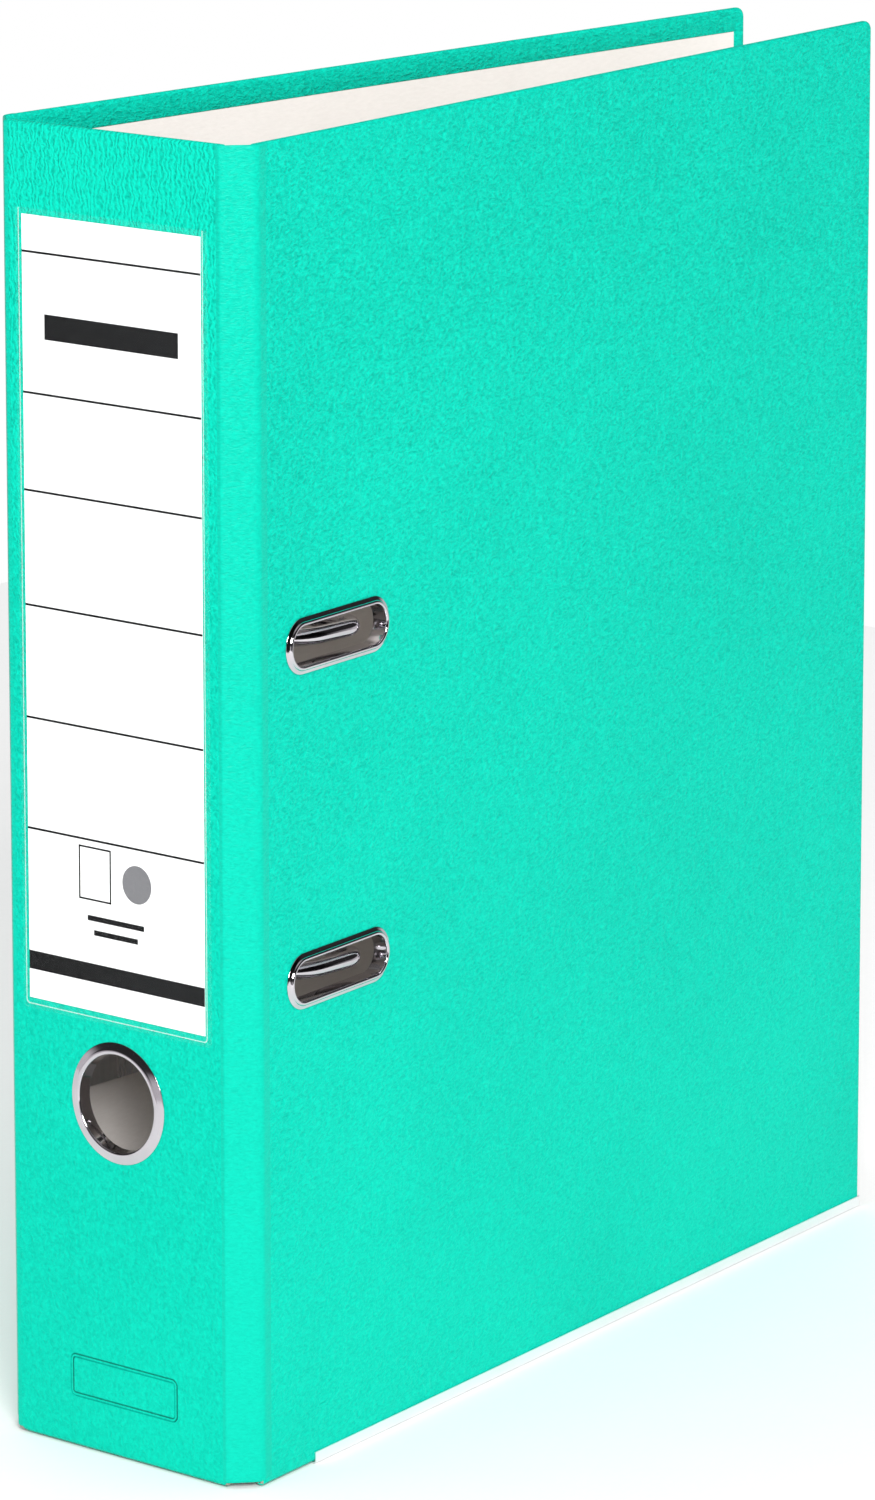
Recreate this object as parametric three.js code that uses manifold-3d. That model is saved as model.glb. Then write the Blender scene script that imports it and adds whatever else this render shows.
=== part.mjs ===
// Lever arch file, standing upright and closed.
// Frame: millimetres, +Z up, spine facing -Y, front cover on +X, back cover on -X.
// The origin is the middle of the bounding box's bottom.
import * as THREE from 'three';
import Module from 'manifold-3d';
import { mergeVertices } from 'three/addons/utils/BufferGeometryUtils.js';

const wasm = await Module();
wasm.setup();

// ---------------------------------------------------------------- driving dimensions (mm)
const HEIGHT = 318;           // floor to the top of the covers
const DEPTH = 285;            // spine face to fore-edge
const WIDTH = 80;             // outside of back cover to outside of front cover at the spine
const LEAN_DEG = 7;           // how far the front cover leans in at the fore-edge
const CHAMFER = 6.2;          // the hinge strips cut each spine corner by this much
const EDGE_RADIUS = 2.5;      // corners of the covers at the fore-edge

const SKIN = 0.3;             // embossed covering
const GAP = 0.1;              // glue line between two layers
const BOARD = 1.7;            // grey board
const PANEL = SKIN + GAP + BOARD + GAP + SKIN;   // whole cover thickness
const TURN_IN = 6;            // covering folded over the top and bottom edges
const TURN_IN_FORE = 4.6;     // covering folded over the fore-edge
const FIT = 0.3;              // clearance round anything that passes through a panel

const RAIL_WALL = 0.3;        // metal edge rail
const RAIL_HEIGHT = 2.8;
const RAIL_START = 21;        // from the cover's hinge edge
const RAIL_CLEAR = 0.05;
const BOTTOM = RAIL_WALL + RAIL_CLEAR;           // panels stand inside the rails

const POST_SPACING = 80;      // ring spacing of the 8 cm filing system
const RING_Z = 159;           // height midway between the two rings
const POST_Y = -92;
const POST_RADIUS = 2.4;
const POST_TOP = 19;
const WIRE_RADIUS = 2.1;      // arch wire
const ARCH_AXIS = { x: -33, y: -108 };
const ARCH_LEG_Y = -119;
const ARCH_FOOT_X = -29;        // where the leg turns towards the cross bar, clear of the plate when open
const ARCH_CROWN_X = 32.3;
const CRANK = { x: -33.9, y: -98.5, half: 6.2 };

const BASE_TOP = -36.5;       // inner face of the base plate
const BASE_BOTTOM = -37.4;
const BASE = { y0: -126, y1: -70, z0: 79, z1: 239 };
const RIVET_RISE = 0.4;       // outer rivet heads above the back covering

const PIVOT = { x: -23, y: -92 };     // lever pivot
const ROLLER = { x: -28, y: -98, radius: 3.5 };

const RING = { z: 87.5, hole: 11.85, sleeve: 12.85, flange: 14.75, rise: 0.9 };
const SLOT = { y0: -124.2, y1: -85.3, half: 4.75, wall: 0.7, flange: 2.0, rise: 1.15 };
const LABEL = { half: 28, z0: 108.8, z1: 296.5 };

// ---------------------------------------------------------------- derived
const HALF = WIDTH / 2;
const SPINE_Y = -DEPTH / 2;
const FORE_Y = DEPTH / 2;
const HINGE_Y = SPINE_Y + CHAMFER;               // hinge edge of both covers
const SPINE_HALF = HALF - CHAMFER;               // flat of the spine
const AXIS_X = HALF - CHAMFER / 2;               // hinge axes, middle of each strip
const AXIS_Y = SPINE_Y + CHAMFER / 2;
const LEAN = THREE.MathUtils.degToRad(LEAN_DEG);
const RING_LOW = RING_Z - POST_SPACING / 2;
const RING_HIGH = RING_Z + POST_SPACING / 2;

// ---------------------------------------------------------------- materials
const finish = (color, roughness, metalness = 0) =>
  new THREE.MeshStandardMaterial({ color, roughness, metalness });
const skinFinish = () => finish(0x1fd3b4, 0.5);
const boardFinish = () => finish(0x8d8478, 0.95);
const liningFinish = () => finish(0xf6f2ef, 0.75);
const chromeFinish = () => finish(0xd5d7d8, 0.18, 1);
const steelFinish = () => finish(0xb6b9bb, 0.35, 1);

// ---------------------------------------------------------------- shapes and solids
/** Rectangle with its own radius at each corner: [lower left, lower right, upper right, upper left]. */
function rect(u0, u1, v0, v1, radii = 0) {
  const [a, b, c, d] = Array.isArray(radii) ? radii : [radii, radii, radii, radii];
  const s = new THREE.Shape();
  const corner = (r, u, v, from) => {
    if (r > 0) s.absarc(u, v, r, from, from + Math.PI / 2, false);
    else s.lineTo(u, v);
  };
  s.moveTo(u0 + a, v0);
  corner(b, u1 - b, v0 + b, -Math.PI / 2);
  corner(c, u1 - c, v1 - c, 0);
  corner(d, u0 + d, v1 - d, Math.PI / 2);
  corner(a, u0 + a, v0 + a, Math.PI);
  return s;
}

function circle(u, v, r) {
  return new THREE.Shape().absarc(u, v, r, 0, Math.PI * 2, false);
}

function polygon(points) {
  return new THREE.Shape(points.map(([u, v]) => new THREE.Vector2(u, v)));
}

const extrude = (shape, depth, curveSegments = 4) =>
  new THREE.ExtrudeGeometry(shape, { depth, bevelEnabled: false, curveSegments });

/** Plate drawn in (y, z) and thickened from x0 to x1. */
function plateX(shape, x0, x1, curveSegments) {
  const onto = new THREE.Matrix4().makeBasis(
    new THREE.Vector3(0, 1, 0), new THREE.Vector3(0, 0, 1), new THREE.Vector3(1, 0, 0));
  return extrude(shape, x1 - x0, curveSegments).applyMatrix4(onto).translate(x0, 0, 0);
}

/** Plate drawn in (x, z) and thickened from y0 to y1. */
function plateY(shape, y0, y1, curveSegments) {
  return extrude(shape, y1 - y0, curveSegments).rotateX(Math.PI / 2).translate(0, y1, 0);
}

/** Bar drawn in (x, y) and run from z0 to z1. */
function barZ(shape, z0, z1, curveSegments) {
  return extrude(shape, z1 - z0, curveSegments).translate(0, 0, z0);
}

const block = (x0, x1, y0, y1, z0, z1) =>
  new THREE.BoxGeometry(x1 - x0, y1 - y0, z1 - z0)
    .translate((x0 + x1) / 2, (y0 + y1) / 2, (z0 + z1) / 2);

/** Turned piece about the X axis; the profile is [radius, x] from axis to axis. */
const turnedX = (profile, y, z, segments = 20) =>
  new THREE.LatheGeometry(profile.map(([r, h]) => new THREE.Vector2(r, h)), segments)
    .rotateZ(-Math.PI / 2).translate(0, y, z);

/** Turned piece along Z. */
const turnedZ = (profile, x, y, segments = 20) =>
  new THREE.LatheGeometry(profile.map(([r, h]) => new THREE.Vector2(r, h)), segments)
    .rotateX(Math.PI / 2).translate(x, y, 0);

/** Closed geometry to a solid that can be cut and joined. */
function solid(geometry) {
  const bare = geometry.clone();
  bare.deleteAttribute('normal');
  bare.deleteAttribute('uv');
  const merged = mergeVertices(bare, 1e-4);
  return new wasm.Manifold(new wasm.Mesh({
    numProp: 3,
    vertProperties: new Float32Array(merged.attributes.position.array),
    triVerts: new Uint32Array(merged.index.array),
  }));
}

/** Solid back to a geometry. */
function geometryOf(body) {
  const mesh = body.getMesh();
  const geometry = new THREE.BufferGeometry();
  geometry.setAttribute('position', new THREE.BufferAttribute(mesh.vertProperties, 3));
  geometry.setIndex(new THREE.BufferAttribute(mesh.triVerts, 1));
  geometry.computeVertexNormals();
  return geometry;
}

const join = (...parts) => parts.map(solid).reduce((a, b) => a.add(b));
const cut = (body, ...tools) => tools.map(solid).reduce((a, b) => a.subtract(b), body);

function piece(name, shape, material) {
  const mesh = new THREE.Mesh(shape.isBufferGeometry ? shape : geometryOf(shape), material);
  mesh.name = name;
  return mesh;
}

// ---------------------------------------------------------------- bent wire
/** Centre line of a bent wire, given as points with their directions. */
class WirePath extends THREE.Curve {
  constructor(points, tangents) {
    super();
    this.points = points;
    this.tangents = tangents;
  }

  get steps() {
    return this.points.length - 1;
  }

  getPoint(t, target = new THREE.Vector3()) {
    const k = Math.min(t * this.steps, this.steps - 1e-9);
    const i = Math.floor(k);
    return target.lerpVectors(this.points[i], this.points[i + 1], k - i);
  }

  getSpacedPoints() {
    return this.points;
  }

  getTangentAt(u, target = new THREE.Vector3()) {
    return target.copy(this.tangents[Math.round(u * this.steps)]);
  }
}

/** Wire path through corners [x, y, z, bend radius], each bend a true arc. */
function bentPath(corners, arcSteps = 6) {
  const at = corners.map(([x, y, z]) => new THREE.Vector3(x, y, z));
  const points = [];
  const tangents = [];
  const add = (p, t) => { points.push(p); tangents.push(t); };
  add(at[0].clone(), at[1].clone().sub(at[0]).normalize());
  for (let i = 1; i < at.length - 1; i++) {
    const into = at[i].clone().sub(at[i - 1]).normalize();
    const out = at[i + 1].clone().sub(at[i]).normalize();
    const turn = into.angleTo(out);
    const radius = corners[i][3];
    const inward = out.clone().sub(into).normalize();
    const centre = at[i].clone().addScaledVector(inward, radius / Math.cos(turn / 2));
    const axis = into.clone().cross(out).normalize();
    const start = at[i].clone().addScaledVector(into, -radius * Math.tan(turn / 2)).sub(centre);
    for (let k = 0; k <= arcSteps; k++) {
      const a = (turn * k) / arcSteps;
      add(start.clone().applyAxisAngle(axis, a).add(centre), into.clone().applyAxisAngle(axis, a));
    }
  }
  const last = at.length - 1;
  add(at[last].clone(), at[last].clone().sub(at[last - 1]).normalize());
  return new WirePath(points, tangents);
}

const wire = (path, radius, sides = 14) =>
  new THREE.ExtrudeGeometry(circle(0, 0, radius), {
    steps: path.steps, extrudePath: path, bevelEnabled: false, curveSegments: sides / 2,
  });

// ---------------------------------------------------------------- cover panels
/** Depth n below a cover's outer face, as an x range for the cover on that side. */
function layerX(side, n0, n1) {
  const a = side * (HALF - n0);
  const b = side * (HALF - n1);
  return [Math.min(a, b), Math.max(a, b)];
}

/** Outline of a cover, inset from its edges; the hinge edge is left square. */
function coverOutline(inset, insetFore = inset, hinge = HINGE_Y) {
  const r = Math.max(EDGE_RADIUS - inset, 0.4);
  return rect(hinge, FORE_Y - insetFore, BOTTOM + inset, HEIGHT - inset, [0, r, r, 0]);
}

/** Board, covering, lining and edge rail of one cover. `holes(n0, n1)` gives the tools to cut. */
function coverPieces(prefix, side, holes) {
  const through = holes(-1, PANEL + 1);
  const covering = cut(
    solid(plateX(coverOutline(0), ...layerX(side, 0, PANEL), 3)),
    plateX(coverOutline(SKIN, SKIN, HINGE_Y - 2), ...layerX(side, SKIN, PANEL - SKIN), 3),
    plateX(rect(HINGE_Y - 2, FORE_Y - TURN_IN_FORE, BOTTOM + TURN_IN, HEIGHT - TURN_IN),
      ...layerX(side, PANEL - SKIN - 0.2, PANEL + 1)),
    ...through);
  const board = cut(
    solid(plateX(coverOutline(SKIN + GAP), ...layerX(side, SKIN + GAP, PANEL - SKIN - GAP), 3)),
    ...through);
  const lining = cut(
    solid(plateX(rect(HINGE_Y, FORE_Y - TURN_IN_FORE - GAP, BOTTOM + TURN_IN + GAP, HEIGHT - TURN_IN - GAP),
      ...layerX(side, PANEL - SKIN, PANEL))),
    ...through);
  const reach = RAIL_WALL + RAIL_CLEAR;
  const [railX0, railX1] = layerX(side, -reach, PANEL + reach);
  const rail = cut(
    solid(block(railX0, railX1, HINGE_Y + RAIL_START, FORE_Y - 0.3, 0, RAIL_HEIGHT)),
    block(railX0 + RAIL_WALL, railX1 - RAIL_WALL, HINGE_Y, FORE_Y + 1, RAIL_WALL, RAIL_HEIGHT + 1));
  return [
    piece(`${prefix}_board`, board, boardFinish()),
    piece(`${prefix}_covering`, covering, skinFinish()),
    piece(`${prefix}_lining`, lining, liningFinish()),
    piece(`${prefix}_edge_rail`, rail, chromeFinish()),
  ];
}

// ---------------------------------------------------------------- back cover
const rivetSpots = [
  [BASE.y0 + 6, BASE.z0 + 7], [BASE.y0 + 6, BASE.z1 - 7],
  [BASE.y1 - 6, BASE.z0 + 7], [BASE.y1 - 6, BASE.z1 - 7],
];
const RIVET_SHANK = 1.6;

const backHoles = (n0, n1) => rivetSpots.map(([y, z]) =>
  plateX(circle(y, z, RIVET_SHANK + FIT), ...layerX(-1, n0, n1), 8));

function rivet(index, [y, z]) {
  const head = -HALF - RIVET_RISE;
  const seat = BASE_TOP + GAP;
  return piece(`base_rivet_${index + 1}`, turnedX([
    [0, head], [2.6, head + 0.04], [4.2, -HALF - GAP], [RIVET_SHANK, -HALF - GAP],
    [RIVET_SHANK, seat], [3.2, seat], [3.0, seat + 0.5], [1.9, seat + 0.9], [0, seat + 1],
  ], y, z, 16), chromeFinish());
}

// ---------------------------------------------------------------- lever mechanism
const fromMiddle = (z) => RING_Z + z;

const LUG = { inner: 9.9, outer: 11.1 };
const LEVER_PIN = 1.6;
const SADDLE = { from: 15, to: 22, radius: 3.9 };

function basePlate() {
  const plate = plateX(rect(BASE.y0, BASE.y1, BASE.z0, BASE.z1, 4), BASE_BOTTOM, BASE_TOP, 5);
  const root = BASE_TOP - 0.4;
  const parts = [plate];
  for (const s of [-1, 1]) {
    const lugZ = [fromMiddle(Math.min(s * LUG.inner, s * LUG.outer)),
      fromMiddle(Math.max(s * LUG.inner, s * LUG.outer))];
    parts.push(
      barZ(polygon([[root, -99.5], [PIVOT.x, PIVOT.y - 5], [PIVOT.x, PIVOT.y + 5], [root, -84.5]]), ...lugZ),
      barZ(circle(PIVOT.x, PIVOT.y, 5), ...lugZ, 8));
    const saddleZ = [fromMiddle(Math.min(s * SADDLE.from, s * SADDLE.to)),
      fromMiddle(Math.max(s * SADDLE.from, s * SADDLE.to))];
    parts.push(
      barZ(rect(root, ARCH_AXIS.x, ARCH_AXIS.y - SADDLE.radius, ARCH_AXIS.y + SADDLE.radius), ...saddleZ),
      barZ(circle(ARCH_AXIS.x, ARCH_AXIS.y, SADDLE.radius), ...saddleZ, 8));
  }
  for (const y of [BASE.y0 + 1, BASE.y1 - 2.2]) {
    parts.push(block(root, BASE_TOP + 1, y, y + 1.2, BASE.z0 + 14, BASE.z1 - 14));
  }
  return cut(join(...parts),
    barZ(circle(PIVOT.x, PIVOT.y, LEVER_PIN + FIT), fromMiddle(-20), fromMiddle(20), 8),
    barZ(circle(ARCH_AXIS.x, ARCH_AXIS.y, WIRE_RADIUS + FIT), fromMiddle(-30), fromMiddle(30), 8),
    ...rivetSpots.map(([y, z]) => plateX(circle(y, z, RIVET_SHANK + FIT), -40, -34, 8)));
}

const post = (z) => turnedX([
  [0, BASE_TOP + GAP], [4, BASE_TOP + GAP], [4, BASE_TOP + 1.3], [POST_RADIUS, BASE_TOP + 1.3],
  [POST_RADIUS, POST_TOP], [POST_RADIUS - 0.5, POST_TOP], [0, POST_TOP - 0.5],
], POST_Y, z);

const leverPin = () => turnedZ([
  [0, fromMiddle(-12.1)], [2.4, fromMiddle(-12.1)], [2.7, fromMiddle(-11.8)], [2.7, fromMiddle(-11.2)],
  [LEVER_PIN, fromMiddle(-11.2)], [LEVER_PIN, fromMiddle(11.2)], [2.7, fromMiddle(11.2)],
  [2.7, fromMiddle(11.8)], [2.4, fromMiddle(12.1)], [0, fromMiddle(12.1)],
], PIVOT.x, PIVOT.y);

/** One wire: upper tip, crown, leg, cross bar with the crank in its middle, and the same below. */
function archWire() {
  const tip = POST_TOP + 0.4;
  const half = (s) => {
    const z = fromMiddle((s * POST_SPACING) / 2);
    return [
      [tip, POST_Y, z, 0],
      [ARCH_CROWN_X, POST_Y, z, 6],
      [ARCH_CROWN_X, ARCH_LEG_Y, z, 12],
      [ARCH_FOOT_X, ARCH_LEG_Y, z, 5],
      [ARCH_AXIS.x, ARCH_AXIS.y, z, 5],
      [ARCH_AXIS.x, ARCH_AXIS.y, fromMiddle(s * CRANK.half), 3.2],
      [CRANK.x, CRANK.y, fromMiddle(s * CRANK.half), 3.2],
    ];
  };
  const path = bentPath([...half(1), ...half(-1).reverse()], 6);
  const nose = (z) => new THREE.ConeGeometry(WIRE_RADIUS, 0.5, 14)
    .rotateZ(Math.PI / 2).translate(tip - 0.25, POST_Y, z);
  const collar = (z) => turnedX([
    [0, tip], [WIRE_RADIUS, tip], [WIRE_RADIUS, tip + 0.6], [0, tip + 0.6],
  ], POST_Y, z, 14);
  return join(wire(path, WIRE_RADIUS), collar(RING_HIGH), collar(RING_LOW), nose(RING_HIGH), nose(RING_LOW));
}

/** Torsion spring: a coil round the cross bar, one arm on the plate, the other along the upper leg. */
function archSpring() {
  const coil = 2.95;
  const points = [];
  const start = fromMiddle(24.5);
  const turns = 3.2;
  const steps = Math.round(turns * 12);
  const at = (phi, z) => new THREE.Vector3(
    ARCH_AXIS.x + coil * Math.cos(phi), ARCH_AXIS.y + coil * Math.sin(phi), z);
  points.push(new THREE.Vector3(ARCH_AXIS.x - coil, ARCH_AXIS.y + 9, start));
  for (let i = 0; i <= steps; i++) {
    points.push(at(Math.PI + (turns * 2 * Math.PI * i) / steps, start + (3.6 * i) / steps));
  }
  const end = points[points.length - 1];
  const reach = new THREE.Vector3(-19, ARCH_LEG_Y + 3.1, end.z + 1);
  points.push(reach, new THREE.Vector3(-17.5, ARCH_LEG_Y + 3.1, end.z + 2.2),
    new THREE.Vector3(-17.5, ARCH_LEG_Y + 3.1, RING_HIGH + 3));
  const tangents = points.map((p, i) => {
    const before = points[Math.max(i - 1, 0)];
    const after = points[Math.min(i + 1, points.length - 1)];
    return after.clone().sub(before).normalize();
  });
  return wire(new WirePath(points, tangents), 0.42, 6);
}

const CHEEK = { inner: 7.4, outer: 8.6 };
const ROLLER_PIN = 1.2;
const GRIP = { y0: -135, y1: -112 };

/** Lever: a channel bent from sheet, its two cheeks on the pivot pin and the roller pin. */
function leverArm() {
  const top = -17.4;
  const side = polygon([
    [top, -88.5], [top, -130.5], [-20.2, -130.5], [-21.6, -107], [-28.6, -100.5],
    [-30.4, -98.5], [-27.2, -91], [PIVOT.x, PIVOT.y + 4.4],
  ]);
  const parts = [block(top - 1.2, top, -130.5, -88.5, fromMiddle(-CHEEK.outer), fromMiddle(CHEEK.outer))];
  for (const s of [-1, 1]) {
    const z = [fromMiddle(Math.min(s * CHEEK.inner, s * CHEEK.outer)),
      fromMiddle(Math.max(s * CHEEK.inner, s * CHEEK.outer))];
    parts.push(barZ(side, ...z), barZ(circle(PIVOT.x, PIVOT.y, 4.4), ...z, 10),
      barZ(circle(ROLLER.x, ROLLER.y, 2.5), ...z, 8));
  }
  return cut(join(...parts),
    barZ(circle(PIVOT.x, PIVOT.y, LEVER_PIN + FIT), fromMiddle(-20), fromMiddle(20), 8),
    barZ(circle(ROLLER.x, ROLLER.y, ROLLER_PIN + FIT), fromMiddle(-20), fromMiddle(20), 8));
}

/** Moulded grip pushed over the end of the lever. */
function leverGrip() {
  const body = plateX(rect(GRIP.y0, GRIP.y1, fromMiddle(-11.5), fromMiddle(11.5), [5, 2, 2, 5]), -23.4, -15.4, 3);
  return cut(solid(body),
    block(-22.1, -17.1, GRIP.y0 + 4.2, GRIP.y1 + 1, fromMiddle(-CHEEK.outer - FIT), fromMiddle(CHEEK.outer + FIT)),
    barZ(circle(-10.6, -124, 6.2), fromMiddle(-20), fromMiddle(20), 16));
}

const rollerPin = () => turnedZ([
  [0, fromMiddle(-9.6)], [1.9, fromMiddle(-9.6)], [1.9, fromMiddle(-8.8)], [ROLLER_PIN, fromMiddle(-8.8)],
  [ROLLER_PIN, fromMiddle(8.8)], [1.9, fromMiddle(8.8)], [1.9, fromMiddle(9.6)], [0, fromMiddle(9.6)],
], ROLLER.x, ROLLER.y, 16);

const roller = () => turnedZ([
  [ROLLER_PIN + FIT, fromMiddle(-7)], [ROLLER.radius - 0.4, fromMiddle(-7)], [ROLLER.radius, fromMiddle(-6.6)],
  [ROLLER.radius, fromMiddle(6.6)], [ROLLER.radius - 0.4, fromMiddle(7)], [ROLLER_PIN + FIT, fromMiddle(7)],
  [ROLLER_PIN + FIT, fromMiddle(-7)],
], ROLLER.x, ROLLER.y, 24);

/** Compressor bar: a strip beside the posts, with an eared hole over each. */
function compressorBar() {
  const x0 = -34.8;
  const x1 = -33.4;
  const ear = (z) => plateX(rect(-98.5, -80, z - 8, z + 8, [6, 0, 0, 6]), x0, x1, 3);
  return cut(
    join(
      plateX(rect(-81.5, -62, RING_LOW - 16, RING_HIGH + 16, 3), x0, x1, 5),
      ear(RING_LOW), ear(RING_HIGH),
      block(x0, x1 + 2.6, -63.4, -62, RING_LOW - 12, RING_HIGH + 12),
      block(x0, x1 + 1.2, -78.6, -77.4, RING_LOW + 8, RING_HIGH - 8)),
    ...[RING_LOW, RING_HIGH].map((z) => plateX(circle(POST_Y, z, POST_RADIUS + FIT), x0 - 1, x1 + 1, 8)));
}

// ---------------------------------------------------------------- front cover
const slotOutline = (z, grow, growLong = grow) => rect(
  SLOT.y0 - growLong, SLOT.y1 + growLong, z - SLOT.half - grow, z + SLOT.half + grow,
  SLOT.half + Math.min(grow, 1.6));

const frontHoles = (n0, n1) => [RING_LOW, RING_HIGH].map((z) =>
  plateX(slotOutline(z, SLOT.wall + FIT), ...layerX(1, n0, n1), 3));

/** Metal eyelet lining one slot: outer flange with a raised rim, sleeve and inner flange. */
function slotEyelet(z) {
  const lift = 0.15;
  return cut(
    join(
      plateX(slotOutline(z, SLOT.flange), ...layerX(1, -lift - 0.55, -lift), 3),
      plateX(slotOutline(z, 0.9), ...layerX(1, -SLOT.rise, -lift - 0.3), 3),
      plateX(slotOutline(z, SLOT.wall), ...layerX(1, -lift - 0.3, PANEL + lift + 0.2), 3),
      plateX(slotOutline(z, SLOT.flange), ...layerX(1, PANEL + lift, PANEL + lift + 0.4), 3)),
    plateX(slotOutline(z, 0), ...layerX(1, -3, PANEL + 3), 3));
}

// ---------------------------------------------------------------- spine
/** Depth n below the spine's outer face, as a y range. */
const layerY = (n0, n1) => [SPINE_Y + n0, SPINE_Y + n1];

function spinePieces() {
  const hole = plateY(circle(0, RING.z, RING.sleeve + FIT), ...layerY(-1, PANEL + 1), 14);
  const covering = cut(
    solid(plateY(rect(-SPINE_HALF, SPINE_HALF, BOTTOM, HEIGHT), ...layerY(0, PANEL))),
    plateY(rect(-HALF, HALF, BOTTOM + SKIN, HEIGHT - SKIN), ...layerY(SKIN, PANEL - SKIN)),
    plateY(rect(-HALF, HALF, BOTTOM + TURN_IN, HEIGHT - TURN_IN), ...layerY(PANEL - SKIN - 0.2, PANEL + 1)),
    hole);
  const inset = SKIN + GAP;
  const board = cut(
    solid(plateY(rect(-SPINE_HALF + 0.2, SPINE_HALF - 0.2, BOTTOM + inset, HEIGHT - inset),
      ...layerY(inset, PANEL - inset))),
    hole);
  const lining = cut(
    solid(plateY(rect(-SPINE_HALF + 0.2, SPINE_HALF - 0.2, BOTTOM + TURN_IN + GAP, HEIGHT - TURN_IN - GAP),
      ...layerY(PANEL - SKIN, PANEL))),
    hole);
  return [
    piece('spine_board', board, boardFinish()),
    piece('spine_covering', covering, skinFinish()),
    piece('spine_lining', lining, liningFinish()),
  ];
}

/** Finger ring: flange with a raised inner rim outside, sleeve through the spine, flange inside. */
function fingerRing() {
  const y = (n) => SPINE_Y + n;
  const lift = 0.15;
  return new THREE.LatheGeometry([
    [RING.hole, y(-RING.rise + 0.2)], [RING.hole + 0.3, y(-RING.rise)], [RING.hole + 1, y(-RING.rise)],
    [RING.hole + 1.3, y(-0.55)], [RING.flange - 0.3, y(-0.5)], [RING.flange, y(-lift)],
    [RING.sleeve, y(-lift)], [RING.sleeve, y(PANEL + lift)], [RING.flange - 0.4, y(PANEL + lift)],
    [RING.flange - 0.4, y(PANEL + lift + 0.35)], [RING.hole, y(PANEL + lift + 0.35)],
    [RING.hole, y(-RING.rise + 0.2)],
  ].map(([r, h]) => new THREE.Vector2(r, h)), 40).translate(0, 0, RING.z);
}

/** Clear pocket welded to the spine on three sides and open at the top. */
const labelPocket = () => cut(
  solid(plateY(rect(-LABEL.half - 2, LABEL.half + 2, LABEL.z0 - 2.6, LABEL.z1 + 1.5), ...layerY(-0.55, -0.1))),
  plateY(rect(-LABEL.half - 0.3, LABEL.half + 0.3, LABEL.z0 - 0.4, LABEL.z1 + 9), ...layerY(-0.35, 0)));

const labelCard = () => plateY(
  rect(-LABEL.half, LABEL.half, LABEL.z0, LABEL.z1), ...layerY(-0.3, -0.12));

/** Spine-side half of a hinge strip: no board, only covering and lining, on the chamfer. */
function hingeStrip(side) {
  const from = SPINE_HALF + 0.15;
  const thick = 0.8 * Math.SQRT1_2;
  const along = 3.9 * Math.SQRT1_2;
  const outer = (x) => x - SPINE_HALF + SPINE_Y;
  const inner = (x) => outer(x) + 2 * thick;
  const tip = SPINE_HALF + along;
  const outline = [
    [side * from, outer(from)], [side * tip, outer(tip)],
    [side * (tip - thick), inner(tip - thick)], [side * from, inner(from)],
  ];
  return barZ(polygon(side > 0 ? outline : outline.reverse()), BOTTOM + 1, HEIGHT - 1);
}

// ---------------------------------------------------------------- assembly
const backCover = new THREE.Group();
backCover.add(
  ...coverPieces('back', -1, backHoles),
  piece('base_plate', basePlate(), steelFinish()),
  piece('post_upper', post(RING_HIGH), chromeFinish()),
  piece('post_lower', post(RING_LOW), chromeFinish()),
  ...rivetSpots.map((spot, i) => rivet(i, spot)),
  piece('lever_pin', leverPin(), steelFinish()),
  piece('arch_spring', archSpring(), steelFinish()));

const mechanism = new THREE.Group();
mechanism.add(
  piece('arch_wire', archWire(), chromeFinish()),
  piece('lever_arm', leverArm(), steelFinish()),
  piece('lever_grip', leverGrip(), finish(0x1c1d1f, 0.5)),
  piece('roller_pin', rollerPin(), steelFinish()),
  piece('roller', roller(), finish(0xe9e6dd, 0.5)),
  piece('compressor_bar', compressorBar(), steelFinish()));

const spine = new THREE.Group();
spine.add(
  ...spinePieces(),
  piece('finger_ring', fingerRing(), chromeFinish()),
  piece('label_pocket', labelPocket(), finish(0xe8eeee, 0.1)),
  piece('label_card', labelCard(), finish(0xf4f2f0, 0.7)),
  piece('front_hinge_strip', hingeStrip(1), skinFinish()),
  piece('back_hinge_strip', hingeStrip(-1), skinFinish()));

// The front cover is built square to the spine, then swung in about its hinge axis.
const frontCover = new THREE.Group();
frontCover.add(
  ...coverPieces('front', 1, frontHoles),
  piece('slot_eyelet_upper', slotEyelet(RING_HIGH), chromeFinish()),
  piece('slot_eyelet_lower', slotEyelet(RING_LOW), chromeFinish()));
frontCover.position.set(-AXIS_X, -AXIS_Y, 0);
const frontHinge = new THREE.Group();
frontHinge.add(frontCover);
frontHinge.position.set(AXIS_X, AXIS_Y, 0);
frontHinge.rotation.z = LEAN;

// Centre the bounding box on the origin: rivet heads and the finger ring stand proud.
const right = AXIS_X + (CHAMFER / 2) * (Math.cos(LEAN) - Math.sin(LEAN));
const part = new THREE.Group();
part.name = 'lever_arch_file';
part.add(backCover, mechanism, spine, frontHinge);
part.position.set((HALF + RIVET_RISE - right) / 2, RING.rise / 2, 0);

export default part;
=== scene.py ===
"""Looks of a lever arch file that stands upright and closed.

Every length below is in millimetres in the part's own layout, where the spine's middle is at x = 0;
`Layout.place` turns such points into the row frame, in metres.
"""

import logging
import math
from dataclasses import dataclass, field
from enum import Enum
from typing import Callable, Sequence

import bmesh
import bpy
import numpy as np
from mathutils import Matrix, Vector
from mathutils.geometry import tessellate_polygon


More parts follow.
